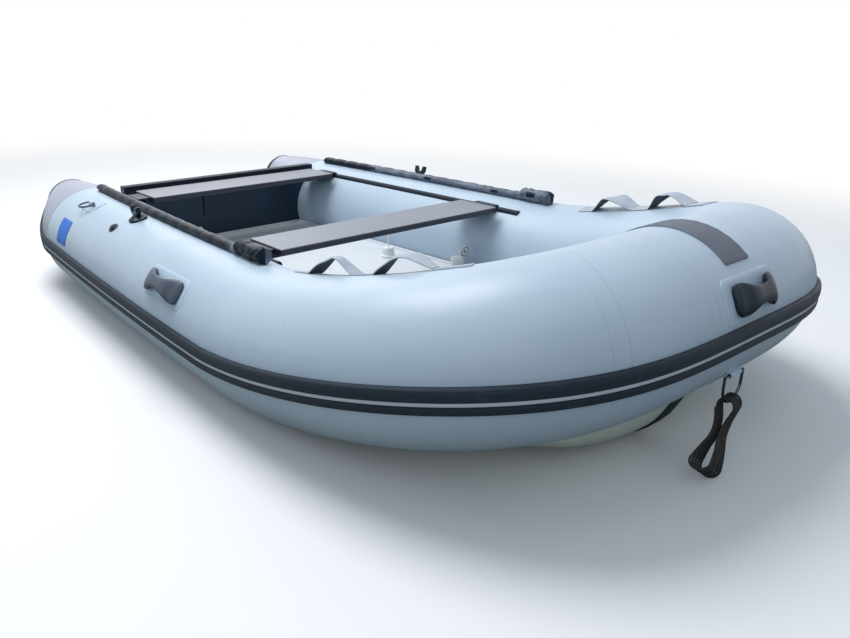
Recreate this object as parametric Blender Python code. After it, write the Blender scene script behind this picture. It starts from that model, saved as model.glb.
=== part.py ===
# Inflatable boat: a light grey sport tender with a wooden transom,
# an air deck, two sliding seat boards and a rubbing strake.
# Units are metres. +Z is up, +Y is the bow and +X is starboard.
# The origin is under the middle of the boat, on the surface it rests on.

import math

import bmesh
import bpy
import numpy as np
from mathutils import Matrix, Vector

for item in list(bpy.data.objects):
    bpy.data.objects.remove(item, do_unlink=True)

# Sizes of the hull that everything else follows

TUBE_RADIUS = 0.205
HALF_SPACING_FORWARD = 0.650
HALF_SPACING_AFT = 0.595
STERN_Y = -1.040
BOW_START_Y = 0.430
BOW_REACH = 0.844
BOW_RISE = 0.180
RISE_START_Y = 0.400
CONE_LENGTH = 0.330
CONE_RISE = 0.082
CAP_LENGTH = 0.075
TRANSOM_FRONT_Y = -0.970
TRANSOM_THICKNESS = 0.032
TRANSOM_HEIGHT = 0.405
DECK_TOP = 0.145
DECK_THICKNESS = 0.070
SEAT_TOP = 0.397
SEAT_THICKNESS = 0.022
SEAT_WIDTH = 0.190
FRONT_SEAT_END_INSET = 0.0432
REAR_SEAT_END_INSET = 0.0385
FRONT_SEAT_Y = 0.169
REAR_SEAT_Y = -0.836

# Clearances between pieces that touch, seat or run in each other

TOUCH_GAP = 0.0003
GLUE_GAP = 0.0005
RUNNING_GAP = 0.0012

# Powers and shares of the hull's curves

SPACING_POWER = 1.7
BOW_CORNER_ACROSS = 4.2
BOW_CORNER_ALONG = 2.6
RISE_POWER = 1.5
CONE_TAPER_SHARE = 0.46
CONE_POWER = 2.0
CAP_SHARES = [(0.30, 0.95), (0.62, 0.80), (0.86, 0.55), (1.00, 0.25)]

# Counts

SIDES = 32
SIDE_STEPS = 7
BOW_STEPS = 13
CONE_STEPS = 5
PATH_SAMPLES = 4001

# Shares for reading directions off the tube and for joining places

FRAME_TURN_SHARE = 0.25
FRAME_REACH_SHARE = 0.02
MARK_SLACK_SHARE = 0.0002
ANGLE_SLACK = 1e-9


def paint(name, colour, roughness, metallic=0.0):
    """A plain material with one colour."""
    material = bpy.data.materials.new(name)
    material.use_nodes = True
    shader = material.node_tree.nodes["Principled BSDF"]
    shader.inputs["Base Color"].default_value = (*colour, 1.0)
    shader.inputs["Roughness"].default_value = roughness
    shader.inputs["Metallic"].default_value = metallic
    return material


TUBE_FABRIC = paint("tube_fabric", (0.62, 0.69, 0.78), 0.42)
CONE_FABRIC = paint("cone_fabric", (0.60, 0.62, 0.72), 0.45)
DECK_FABRIC = paint("deck_fabric", (0.82, 0.85, 0.88), 0.55)
HULL_FABRIC = paint("hull_fabric", (0.66, 0.69, 0.66), 0.50)
STRAKE_RUBBER = paint("strake_rubber", (0.045, 0.050, 0.062), 0.50)
STRIPE_RUBBER = paint("stripe_rubber", (0.42, 0.43, 0.50), 0.50)
BLACK_RUBBER = paint("black_rubber", (0.022, 0.024, 0.030), 0.45)
PATCH_RUBBER = paint("patch_rubber", (0.16, 0.17, 0.22), 0.55)
PALE_PATCH = paint("pale_patch", (0.58, 0.65, 0.74), 0.45)
BLUE_PATCH = paint("blue_patch", (0.05, 0.22, 0.66), 0.40)
BOARD_PAINT = paint("board_paint", (0.030, 0.042, 0.075), 0.38)
SEAT_PAINT = paint("seat_paint", (0.42, 0.42, 0.52), 0.45)
BLACK_MOULDED = paint("black_moulded", (0.020, 0.021, 0.026), 0.32)
WHITE_MOULDED = paint("white_moulded", (0.84, 0.86, 0.86), 0.35)
GREY_MOULDED = paint("grey_moulded", (0.25, 0.27, 0.31), 0.40)
STEEL = paint("steel", (0.30, 0.31, 0.33), 0.32, 1.0)
ROPE = paint("rope", (0.018, 0.019, 0.022), 0.75)
WEBBING = paint("webbing", (0.34, 0.38, 0.44), 0.70)
ROLL_FABRIC = paint("roll_fabric", (0.030, 0.034, 0.045), 0.40)


# The line that the middle of the tube follows, from the starboard stern
# round the bow to the port stern. Lengths along it are measured from the
# starboard stern, where the tube ends and its cone begins.

def half_spacing(y):
    """Half the distance between the two tubes' middles, abreast of y."""
    share = max((BOW_START_Y - y) / (BOW_START_Y - STERN_Y), 0.0)
    narrowing = HALF_SPACING_FORWARD - HALF_SPACING_AFT
    return HALF_SPACING_FORWARD - narrowing * share ** SPACING_POWER


BOW_MIDDLE_Y = BOW_START_Y + BOW_REACH


def middle_height(y):
    """Height of the tube's middle: level aft, rising in the bow."""
    share = (y - RISE_START_Y) / (BOW_MIDDLE_Y - RISE_START_Y)
    return TUBE_RADIUS + BOW_RISE * max(share, 0.0) ** RISE_POWER


def starboard_line():
    """Points of the tube's middle line from the stern to the bow's middle."""
    side_y = np.linspace(STERN_Y, BOW_START_Y, PATH_SAMPLES, endpoint=False)
    side_x = np.array([half_spacing(y) for y in side_y])
    turn = np.linspace(0.0, 1.0, PATH_SAMPLES)
    angle = math.pi / 4 * (1.0 - np.cos(math.pi * turn))
    across = np.clip(np.cos(angle), 0.0, 1.0) ** (2.0 / BOW_CORNER_ACROSS)
    along = np.clip(np.sin(angle), 0.0, 1.0) ** (2.0 / BOW_CORNER_ALONG)
    x = np.concatenate([side_x, HALF_SPACING_FORWARD * across])
    y = np.concatenate([side_y, BOW_START_Y + BOW_REACH * along])
    z = np.array([middle_height(value) for value in y])
    x[-1] = 0.0
    points = np.stack([x, y, z], axis=1)
    steps = np.linalg.norm(np.diff(points, axis=0), axis=1)
    lengths = np.concatenate([[0.0], np.cumsum(steps)])
    even = np.linspace(0.0, lengths[-1], PATH_SAMPLES)
    return even, np.stack([np.interp(even, lengths, points[:, k]) for k in range(3)], axis=1)


LINE_LENGTHS, LINE_POINTS = starboard_line()
HALF_LENGTH = float(LINE_LENGTHS[-1])
FULL_LENGTH = 2.0 * HALF_LENGTH
LINE_TANGENTS = np.gradient(LINE_POINTS, LINE_LENGTHS, axis=0)
LINE_TANGENTS[-1] = (-1.0, 0.0, 0.0)
LINE_TANGENTS /= np.linalg.norm(LINE_TANGENTS, axis=1)[:, None]


def length_at_y(y):
    """Length along the starboard line where it passes y."""
    return float(np.interp(y, LINE_POINTS[:, 1], LINE_LENGTHS))


def even_turns(start, end, steps):
    """Places along the line, closer together where it turns more."""
    inside = (LINE_LENGTHS >= start) & (LINE_LENGTHS <= end)
    lengths = LINE_LENGTHS[inside]
    tangents = LINE_TANGENTS[inside]
    turning = np.linalg.norm(np.diff(tangents, axis=0), axis=1)
    steady = np.diff(lengths) / (end - start)
    weight = np.concatenate([[0.0], np.cumsum(turning + steady)])
    wanted = np.linspace(0.0, weight[-1], steps + 1)
    places = np.interp(wanted, weight, lengths)
    places[0] = start
    places[-1] = end
    return list(places)


SPLIT = length_at_y(BOW_START_Y)
HALF_STATIONS = even_turns(0.0, SPLIT, SIDE_STEPS) + even_turns(SPLIT, HALF_LENGTH, BOW_STEPS)[1:]


class Ring:
    """One cross-section of the tube: its middle, its outward and upward
    directions and its radius."""

    def __init__(self, place, middle, outward, upward, radius):
        self.place = place
        self.middle = middle
        self.outward = outward
        self.upward = upward
        self.radius = radius

    def mirrored(self):
        flip = np.array([-1.0, 1.0, 1.0])
        return Ring(FULL_LENGTH - self.place, self.middle * flip, self.outward * flip,
                    self.upward * flip, self.radius)


def ring_on_line(place):
    """The tube's cross-section at one place on the starboard half."""
    middle = np.array([np.interp(place, LINE_LENGTHS, LINE_POINTS[:, k]) for k in range(3)])
    tangent = np.array([np.interp(place, LINE_LENGTHS, LINE_TANGENTS[:, k]) for k in range(3)])
    tangent /= np.linalg.norm(tangent)
    outward = np.array([tangent[1], -tangent[0], 0.0])
    outward /= np.linalg.norm(outward)
    return Ring(place, middle, outward, np.cross(outward, tangent), TUBE_RADIUS)


CONE_END_RADIUS = TUBE_RADIUS * (1.0 - CONE_TAPER_SHARE)


def stern_rings():
    """The cross-sections aft of the tube: its cone, then the end cap."""
    first = ring_on_line(0.0)
    forward = np.cross(first.upward, first.outward)
    rings = []
    for step in range(1, CONE_STEPS + 1):
        share = step / CONE_STEPS
        middle = first.middle - forward * CONE_LENGTH * share
        middle = middle + first.upward * CONE_RISE * share ** CONE_POWER
        radius = TUBE_RADIUS * (1.0 - CONE_TAPER_SHARE * share ** CONE_POWER)
        rings.append(Ring(-CONE_LENGTH * share, middle, first.outward, first.upward, radius))
    end = rings[-1]
    for along, across in CAP_SHARES:
        middle = end.middle - forward * CAP_LENGTH * along
        rings.append(Ring(end.place - CAP_LENGTH * along, middle, first.outward, first.upward,
                          CONE_END_RADIUS * across))
    return rings[::-1]


STARBOARD_RINGS = stern_rings() + [ring_on_line(place) for place in HALF_STATIONS]
RINGS = STARBOARD_RINGS + [ring.mirrored() for ring in STARBOARD_RINGS[-2::-1]]
PLACES = np.array([ring.place for ring in RINGS])
RIDGE_STEP = 360.0 / SIDES
FACE_RISE = 1.0 / math.cos(math.pi / SIDES)


def ring_point(ring, angle, lift):
    """A point at one angle round a cross-section, raised off its faces."""
    step = math.floor(angle / RIDGE_STEP + ANGLE_SLACK)
    share = angle / RIDGE_STEP - step
    reach = ring.radius + lift * FACE_RISE
    corners = []
    for corner in (step, step + 1):
        turn = math.radians(corner * RIDGE_STEP)
        corners.append(ring.outward * math.cos(turn) + ring.upward * math.sin(turn))
    return ring.middle + reach * (corners[0] * (1.0 - share) + corners[1] * share)


def tube_point(place, angle, lift=0.0):
    """A point on the tube: at a length along it, an angle round it (0 is
    outboard, 90 is the top, 180 is inboard) and a height above its faces."""
    index = int(np.clip(np.searchsorted(PLACES, place, side="right") - 1, 0, len(RINGS) - 2))
    before = RINGS[index]
    after = RINGS[index + 1]
    share = (place - before.place) / (after.place - before.place)
    return ring_point(before, angle, lift) * (1.0 - share) + ring_point(after, angle, lift) * share


def tube_frame(place, angle):
    """Directions on the tube there: along it, round it and off it."""
    small = RIDGE_STEP * FRAME_TURN_SHARE
    reach = TUBE_RADIUS * FRAME_REACH_SHARE
    here = tube_point(place, angle)
    along = tube_point(place + reach, angle) - tube_point(place - reach, angle)
    around = tube_point(place, angle + small) - tube_point(place, angle - small)
    along /= np.linalg.norm(along)
    around -= along * float(around @ along)
    around /= np.linalg.norm(around)
    off = np.cross(around, along)
    if float(off @ (here - tube_point(place, angle, -reach))) < 0.0:
        off = -off
    return along, around, off


def between(start, end, marks):
    """The two ends and the marks that lie between them, in order."""
    slack = (end - start) * MARK_SLACK_SHARE
    return [start] + [mark for mark in marks if start + slack < mark < end - slack] + [end]


def ridges(start, end):
    """The angles of the tube's ridges near a stretch round it."""
    first = math.floor(start / RIDGE_STEP)
    last = math.ceil(end / RIDGE_STEP)
    return [step * RIDGE_STEP for step in range(first, last + 1)]


# Ways to make a solid

def finish(name, mesh, material, smooth_angle=35.0):
    """Make the object, with its faces out and its round faces smooth."""
    build = bmesh.new()
    build.from_mesh(mesh)
    bmesh.ops.recalc_face_normals(build, faces=build.faces)
    if build.calc_volume(signed=True) < 0.0:
        bmesh.ops.reverse_faces(build, faces=build.faces)
    build.to_mesh(mesh)
    build.free()
    mesh.materials.append(material)
    mesh.shade_smooth()
    mesh.set_sharp_from_angle(angle=math.radians(smooth_angle))
    thing = bpy.data.objects.new(name, mesh)
    bpy.context.scene.collection.objects.link(thing)
    return thing


def loft(name, loops, material, closed=False, smooth_angle=35.0):
    """A solid skinned over a row of loops that all have as many points,
    with a flat end at each side unless the row closes on itself."""
    build = bmesh.new()
    rows = [[build.verts.new(point) for point in loop] for loop in loops]
    count = len(rows[0])
    pairs = list(zip(rows[:-1], rows[1:]))
    if closed:
        pairs.append((rows[-1], rows[0]))
    for near, far in pairs:
        for k in range(count):
            after = (k + 1) % count
            build.faces.new((near[k], near[after], far[after], far[k]))
    if not closed:
        build.faces.new(rows[0])
        build.faces.new(rows[-1])
    mesh = bpy.data.meshes.new(name)
    build.to_mesh(mesh)
    build.free()
    return finish(name, mesh, material, smooth_angle)


def extrude_outline(name, outline, direction, material, smooth_angle=35.0):
    """A flat outline pushed along a direction."""
    push = np.array(direction)
    return loft(name, [[np.array(p) for p in outline], [np.array(p) + push for p in outline]],
                material, smooth_angle=smooth_angle)


def wrap(name, start, end, low_angle, high_angle, low, high, material):
    """A patch or strip glued on the tube, parallel to its faces."""
    angles = between(low_angle, high_angle, ridges(low_angle, high_angle))
    loops = []
    for place in between(start, end, PLACES):
        inner = [tube_point(place, angle, low) for angle in angles]
        outer = [tube_point(place, angle, high) for angle in reversed(angles)]
        loops.append(inner + outer)
    return loft(name, loops, material)


def sweep_profile(name, start, end, profile, material):
    """A section given as (angle, lift) points, run along the tube."""
    loops = []
    for place in between(start, end, PLACES):
        loops.append([tube_point(place, angle, lift) for angle, lift in profile])
    return loft(name, loops, material)


def round_fitting(name, place, angle, radius, depth, shares, material, sides=16):
    """A round moulding standing on the tube. Its rings are shares of its
    radius and of its depth."""
    low = GLUE_GAP
    rings = [(radius * across, depth * up) for across, up in shares]
    along, around, off = tube_frame(place, angle)
    foot = tube_point(place, angle, low)
    loops = []
    bottom = []
    for k in range(sides):
        turn = 2.0 * math.pi * k / sides
        reach = rings[0][0]
        bottom.append(tube_point(place + reach * math.cos(turn),
                                 angle + math.degrees(reach * math.sin(turn) / TUBE_RADIUS), low))
    loops.append(bottom)
    for reach, height in rings:
        loop = []
        for k in range(sides):
            turn = 2.0 * math.pi * k / sides
            way = along * math.cos(turn) + around * math.sin(turn)
            loop.append(foot + way * reach + off * height)
        loops.append(loop)
    build = bmesh.new()
    rows = [[build.verts.new(point) for point in loop] for loop in loops]
    for near, far in zip(rows[:-1], rows[1:]):
        for k in range(sides):
            after = (k + 1) % sides
            build.faces.new((near[k], near[after], far[after], far[k]))
    centre = build.verts.new(foot)
    for k in range(sides):
        build.faces.new((centre, rows[0][(k + 1) % sides], rows[0][k]))
    build.faces.new(rows[-1])
    mesh = bpy.data.meshes.new(name)
    build.to_mesh(mesh)
    build.free()
    return finish(name, mesh, material)


GRIP_EDGE_SHARE = 0.3
GRIP_TOP_WIDTH_SHARE = 0.72


def grip(name, place, angle, length, half_width, slices, material):
    """A moulded handle on the tube. Each slice is a share of the length,
    a share of the half width, and the lower and upper height there."""
    loops = []
    for along, across, low, high in slices:
        here = place + length * (along - 0.5)
        reach = math.degrees(half_width * across / TUBE_RADIUS)
        edge = (high - low) * GRIP_EDGE_SHARE
        top = reach * GRIP_TOP_WIDTH_SHARE
        section = [(-reach, low), (0.0, low), (reach, low), (reach, high - edge), (top, high),
                   (-top, high), (-reach, high - edge)]
        loops.append([tube_point(here, angle + turn, lift) for turn, lift in section])
    return loft(name, loops, material)


def wire_loop(name, points, radius, material, resolution=2):
    """A closed loop of round wire through the points."""
    curve = bpy.data.curves.new(name, "CURVE")
    curve.dimensions = "3D"
    curve.bevel_depth = radius
    curve.bevel_resolution = resolution
    spline = curve.splines.new("POLY")
    spline.points.add(len(points) - 1)
    for knot, point in zip(spline.points, points):
        knot.co = (*point, 1.0)
    spline.use_cyclic_u = True
    curve.materials.append(material)
    thing = bpy.data.objects.new(name, curve)
    bpy.context.scene.collection.objects.link(thing)
    return thing


def move_origin(thing, origin):
    """Put an object's origin on its joint's axis, its shape unmoved."""
    shift = Vector(origin)
    if thing.type == "MESH":
        thing.data.transform(Matrix.Translation(-shift))
    else:
        for spline in thing.data.splines:
            for knot in spline.points:
                knot.co = (*(Vector(knot.co[:3]) - shift), 1.0)
    thing.location = shift


def join_by_union(thing, others):
    """One solid from several overlapping ones."""
    for other in others:
        union = thing.modifiers.new("union_" + other.name, "BOOLEAN")
        union.operation = "UNION"
        union.solver = "EXACT"
        union.object = other
        other.hide_render = True
        other.display_type = "WIRE"


# Air chambers: one down each side and one round the bow, with a thin
# diaphragm between each two, so that the boat floats if one goes down

BAFFLE_THICKNESS = 0.0015
BAFFLE_INSET = 0.002
CHAMBER_CUT = BAFFLE_THICKNESS / 2 + TOUCH_GAP
ALL_ROUND = [k * RIDGE_STEP for k in range(SIDES)]


def tube_piece(name, start, end, material):
    """A length of the tube itself, closed at both ends."""
    loops = []
    for place in between(start, end, PLACES):
        loops.append([tube_point(place, angle) for angle in ALL_ROUND])
    return loft(name, loops, material)


def both_sides(start, end):
    """The same stretch of tube on each side of the boat."""
    return (("starboard", start, end), ("port", FULL_LENGTH - end, FULL_LENGTH - start))


for side, start, end in both_sides(TOUCH_GAP / 2, SPLIT - CHAMBER_CUT):
    tube_piece("chamber_" + side, start, end, TUBE_FABRIC)
tube_piece("chamber_bow", SPLIT + CHAMBER_CUT, FULL_LENGTH - SPLIT - CHAMBER_CUT, TUBE_FABRIC)
for side, start, end in both_sides(SPLIT - BAFFLE_THICKNESS / 2, SPLIT + BAFFLE_THICKNESS / 2):
    disc = [[tube_point(place, angle, -BAFFLE_INSET) for angle in ALL_ROUND] for place in (start, end)]
    loft("baffle_" + side, disc, HULL_FABRIC)

# Stern cones, each closed by a moulded rubber cap

for side, start, end in both_sides(-CONE_LENGTH + TOUCH_GAP, -TOUCH_GAP / 2):
    tube_piece("cone_" + side, start, end, CONE_FABRIC)
for side, start, end in both_sides(-CONE_LENGTH - CAP_LENGTH, -CONE_LENGTH):
    tube_piece("cone_cap_" + side, start, end, BLACK_RUBBER)

# Rubbing strake: a dark rubber extrusion round the outside of the tube,
# with a light stripe pressed into its groove

STRAKE_TOP_ANGLE = 5.6
STRAKE_BOTTOM_ANGLE = -12.4
STRAKE_HEIGHT = 0.0125
STRAKE_EDGE = 0.004
GROOVE_FLOOR = 0.0065
GROOVE_TOP_ANGLE = -3.2
GROOVE_BOTTOM_ANGLE = -6.0
STRIPE_HEIGHT = 0.0100
STRIPE_SIDE_ANGLE = math.degrees(TOUCH_GAP / TUBE_RADIUS)
STRAKE_SPAN = STRAKE_TOP_ANGLE - STRAKE_BOTTOM_ANGLE
STRAKE_SHOULDER_SHARE = 0.07
STRAKE_SHOULDER_HEIGHT_SHARE = 0.85
STRAKE_CROWN_SHARE = 0.21
STRAKE_FOOT_SHARE = 0.105
STRAKE_FOOT_HEIGHT_SHARE = 0.92

strake_shoulder = STRAKE_SPAN * STRAKE_SHOULDER_SHARE
shoulder_height = STRAKE_HEIGHT * STRAKE_SHOULDER_HEIGHT_SHARE
strake_marks = ridges(STRAKE_BOTTOM_ANGLE, STRAKE_TOP_ANGLE)
strake_inner = [(angle, GLUE_GAP) for angle in between(STRAKE_BOTTOM_ANGLE, STRAKE_TOP_ANGLE, strake_marks)]
strake_outer = [
    (STRAKE_TOP_ANGLE, STRAKE_EDGE),
    (STRAKE_TOP_ANGLE - strake_shoulder, shoulder_height),
    (STRAKE_TOP_ANGLE - STRAKE_SPAN * STRAKE_CROWN_SHARE, STRAKE_HEIGHT),
    (GROOVE_TOP_ANGLE + strake_shoulder, STRAKE_HEIGHT),
    (GROOVE_TOP_ANGLE, shoulder_height),
    (GROOVE_TOP_ANGLE, GROOVE_FLOOR),
    (GROOVE_BOTTOM_ANGLE, GROOVE_FLOOR),
    (GROOVE_BOTTOM_ANGLE, shoulder_height),
    (GROOVE_BOTTOM_ANGLE - strake_shoulder, STRAKE_HEIGHT),
    (STRAKE_BOTTOM_ANGLE + STRAKE_SPAN * STRAKE_FOOT_SHARE, STRAKE_HEIGHT * STRAKE_FOOT_HEIGHT_SHARE),
    (STRAKE_BOTTOM_ANGLE, STRAKE_EDGE),
]
sweep_profile("rub_strake", -CONE_LENGTH + TOUCH_GAP, FULL_LENGTH + CONE_LENGTH - TOUCH_GAP,
              strake_inner + strake_outer, STRAKE_RUBBER)
stripe_low = GROOVE_BOTTOM_ANGLE + STRIPE_SIDE_ANGLE
stripe_high = GROOVE_TOP_ANGLE - STRIPE_SIDE_ANGLE
sweep_profile("strake_stripe", -CONE_LENGTH + TOUCH_GAP, FULL_LENGTH + CONE_LENGTH - TOUCH_GAP,
              [(stripe_low, GROOVE_FLOOR + TOUCH_GAP), (stripe_high, GROOVE_FLOOR + TOUCH_GAP),
               (stripe_high, STRIPE_HEIGHT), (stripe_low, STRIPE_HEIGHT)], STRIPE_RUBBER)

# Hull bottom: coated fabric from tube to tube, drawn over the keel into a
# V at the bow

BOTTOM_THICKNESS = 0.0025
BOTTOM_END_SHARE = 0.88
BOTTOM_ANGLE = -112.5
FOREFOOT_ANGLE = -78.75
FOREFOOT_REACH = 0.022
KEEL_STRIP_THICKNESS = 0.005
KEEL_STRIP_WIDTH = 0.060
FOREFOOT_Y = 0.950
FOREFOOT_POWER = 6.0
BOTTOM_POWER = 3.0
BOTTOM_COLUMNS = 12

bottom_aft = length_at_y(TRANSOM_FRONT_Y + GLUE_GAP)
bottom_end = SPLIT + (HALF_LENGTH - SPLIT) * BOTTOM_END_SHARE
KEEL_BASE = KEEL_STRIP_THICKNESS + GLUE_GAP


def bottom_edge(place):
    """Where the bottom's edge is glued under the tube, and how far the
    keel's line runs ahead of it there."""
    share = max((place - SPLIT) / (bottom_end - SPLIT), 0.0)
    angle = BOTTOM_ANGLE + (FOREFOOT_ANGLE - BOTTOM_ANGLE) * share ** 2
    return tube_point(place, angle, GLUE_GAP + BOTTOM_THICKNESS), FOREFOOT_REACH * share ** 2


END_EDGE, END_AHEAD = bottom_edge(bottom_end)


def keel_height(y):
    """Height of the fabric's underside over the keel."""
    share = (y - FOREFOOT_Y) / (END_EDGE[1] + END_AHEAD - FOREFOOT_Y)
    return KEEL_BASE + (END_EDGE[2] - KEEL_BASE) * max(share, 0.0) ** FOREFOOT_POWER


def bottom_rows():
    """Cross-sections of the hull bottom, from the transom forward."""
    rows = []
    for place in between(bottom_aft, bottom_end, PLACES):
        edge, ahead = bottom_edge(place)
        low = keel_height(edge[1] + ahead)
        row = []
        for step in range(BOTTOM_COLUMNS + 1):
            share = 1.0 - 2.0 * step / BOTTOM_COLUMNS
            height = low + (edge[2] - low) * abs(share) ** BOTTOM_POWER
            row.append(np.array([edge[0] * share, edge[1] + ahead * (1.0 - share ** 2), height]))
        rows.append(row)
    return rows


lift_up = np.array([0.0, 0.0, BOTTOM_THICKNESS])
bottom_loops = [row + [point + lift_up for point in reversed(row)] for row in bottom_rows()]
loft("hull_bottom", bottom_loops, HULL_FABRIC)

# Keel: an air keel between the hull bottom and the deck, and a rubber
# wearing strip under it that the boat stands on with its tubes

KEEL_AFT_Y = -0.930
KEEL_FORWARD_Y = 0.860
KEEL_SIDES = 14
KEEL_END_SHARE = 0.5
STRIP_SIDE_SHARE = 0.7
STRIP_END_SHARE = 0.55

keel_low = KEEL_BASE + BOTTOM_THICKNESS + GLUE_GAP
KEEL_RADIUS = (DECK_TOP - DECK_THICKNESS - TOUCH_GAP - keel_low) / 2
keel_middle = keel_low + KEEL_RADIUS
keel_turns = [2.0 * math.pi * k / KEEL_SIDES for k in range(KEEL_SIDES)]
keel_ring = [(KEEL_RADIUS * math.sin(turn), KEEL_RADIUS * math.cos(turn)) for turn in keel_turns]
keel_ends = [(KEEL_AFT_Y, KEEL_END_SHARE), (KEEL_AFT_Y + KEEL_RADIUS, 1.0),
             (KEEL_FORWARD_Y - KEEL_RADIUS, 1.0), (KEEL_FORWARD_Y, KEEL_END_SHARE)]
loft("keel_tube", [[np.array([x * share, y, keel_middle + z * share]) for x, z in keel_ring]
                   for y, share in keel_ends], HULL_FABRIC)
strip_line = [row[BOTTOM_COLUMNS // 2] for row in bottom_rows()]
strip_line[0] = strip_line[0] + np.array([0.0, KEEL_STRIP_WIDTH, 0.0])
strip_loops = []
for k, point in enumerate(strip_line):
    before = point - strip_line[max(k - 1, 0)]
    after = strip_line[min(k + 1, len(strip_line) - 1)] - point
    ways = [way / np.linalg.norm(way) for way in (before, after) if np.linalg.norm(way) > 0.0]
    mean = sum(ways) / len(ways)
    mitre = 1.0 / float(mean @ mean)
    down = np.array([0.0, mean[2], -mean[1]]) * mitre
    half = KEEL_STRIP_WIDTH / 2 * (STRIP_END_SHARE if k == len(strip_line) - 1 else 1.0)
    side = np.array([half, 0.0, 0.0])
    near = point + down * GLUE_GAP
    far = point + down * (GLUE_GAP + KEEL_STRIP_THICKNESS)
    inner = side * STRIP_SIDE_SHARE
    strip_loops.append([near - inner, near + inner, far + side, far - side])
loft("keel_strip", strip_loops, STRAKE_RUBBER)

# Air deck: a drop-stitch floor that fills the space between the tubes

DECK_END_GAP = 0.001
DECK_ROUNDING = 0.010
DECK_TUCK_SHARE = 0.86
DECK_EDGE_SHARES = [(1.0, 0.0), (0.25, 0.4), (0.0, 1.0)]


def deck_outline(inset, height):
    """The deck's edge at one height, tucked against the tubes' sides."""
    starboard = []
    for place in between(length_at_y(TRANSOM_FRONT_Y + DECK_END_GAP), HALF_LENGTH, HALF_STATIONS):
        ring = ring_on_line(place)
        side = math.sqrt(max((TUBE_RADIUS + GLUE_GAP) ** 2 - (height - ring.middle[2]) ** 2, 0.0))
        point = ring.middle - ring.outward * (max(side, TUBE_RADIUS * DECK_TUCK_SHARE) + inset)
        starboard.append(np.array([max(point[0], 0.0), point[1], height]))
    starboard[0][1] = TRANSOM_FRONT_Y + DECK_END_GAP + inset
    port = [point * np.array([-1.0, 1.0, 1.0]) for point in starboard[-2::-1]]
    return starboard + port


deck_bottom = DECK_TOP - DECK_THICKNESS
deck_loops = [deck_outline(DECK_ROUNDING * inset, deck_bottom + DECK_ROUNDING * up)
              for inset, up in DECK_EDGE_SHARES]
deck_loops += [deck_outline(DECK_ROUNDING * inset, DECK_TOP - DECK_ROUNDING * up)
               for inset, up in reversed(DECK_EDGE_SHARES)]
loft("air_floor", deck_loops, DECK_FABRIC)

# Transom: a board between the tubes that carries the outboard, with a cap
# on its top edge and a pad on each face for the outboard's clamps

TRANSOM_SIDE_GAP = 0.0018
TRANSOM_FOOT_ANGLE = 236.25
TRANSOM_SHOULDER_ANGLE = 123.75
CAP_WALL = 0.005
CAP_DEPTH = 0.018
PAD_WIDTH = 0.240
PAD_HEIGHT = 0.150
PAD_THICKNESS = 0.008
DRAIN_RADIUS = 0.016
DRAIN_PAD_CLEAR = 0.012
DRAIN_HEIGHT = 0.026
DRAIN_SIDES = 14
DRAIN_SHARES = [(1.0, 0.0), (1.0, 0.5), (0.7, 0.6), (0.6, 1.5)]

transom_ring = ring_on_line(length_at_y(TRANSOM_FRONT_Y - TRANSOM_THICKNESS / 2))
transom_rear_y = TRANSOM_FRONT_Y - TRANSOM_THICKNESS
board_reach = TUBE_RADIUS + TRANSOM_SIDE_GAP


def board_half_width(height):
    """Half the board's width at a height: to the tube's side, and no wider
    than at its shoulder."""
    shoulder = TUBE_RADIUS + board_reach * math.sin(math.radians(TRANSOM_SHOULDER_ANGLE))
    rise = min(height, shoulder) - TUBE_RADIUS
    return transom_ring.middle[0] - math.sqrt(board_reach ** 2 - rise ** 2)


def transom_outline(y):
    """The board's outline: it fits the tubes' inner sides."""
    starboard = []
    angle = TRANSOM_FOOT_ANGLE
    while angle > TRANSOM_SHOULDER_ANGLE - RIDGE_STEP / 2:
        height = TUBE_RADIUS + board_reach * math.sin(math.radians(angle))
        if height < TRANSOM_HEIGHT - CAP_DEPTH:
            starboard.append((board_half_width(height), y, height))
        angle -= RIDGE_STEP
    starboard.append((board_half_width(TRANSOM_HEIGHT - CAP_DEPTH), y, TRANSOM_HEIGHT))
    return starboard + [(-x, y, z) for x, y, z in reversed(starboard)]


board_outline = transom_outline(transom_rear_y)
extrude_outline("transom_board", board_outline, (0.0, TRANSOM_THICKNESS, 0.0), BOARD_PAINT)
cap_half = board_half_width(TRANSOM_HEIGHT - CAP_DEPTH)
face_front = TRANSOM_FRONT_Y + TOUCH_GAP
face_rear = transom_rear_y - TOUCH_GAP
cap_low = TRANSOM_HEIGHT - CAP_DEPTH
cap_seat = TRANSOM_HEIGHT + TOUCH_GAP
cap_section = [
    (face_front, cap_low), (face_front + CAP_WALL, cap_low),
    (face_front + CAP_WALL, cap_seat + CAP_WALL), (face_rear - CAP_WALL, cap_seat + CAP_WALL),
    (face_rear - CAP_WALL, cap_low), (face_rear, cap_low),
    (face_rear, cap_seat), (face_front, cap_seat),
]
cap_outline = [(-cap_half, y, z) for y, z in cap_section]
extrude_outline("transom_cap", cap_outline, (2 * cap_half, 0.0, 0.0), BLACK_RUBBER)
pad_top = cap_low - TOUCH_GAP
pad_low = pad_top - PAD_HEIGHT
for pad_name, near in (("motor_pad_outer", face_rear - PAD_THICKNESS), ("motor_pad_inner", face_front)):
    corners = [(-PAD_WIDTH / 2, near, pad_low), (PAD_WIDTH / 2, near, pad_low),
               (PAD_WIDTH / 2, near, pad_top), (-PAD_WIDTH / 2, near, pad_top)]
    extrude_outline(pad_name, corners, (0.0, PAD_THICKNESS, 0.0), GREY_MOULDED)

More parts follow.
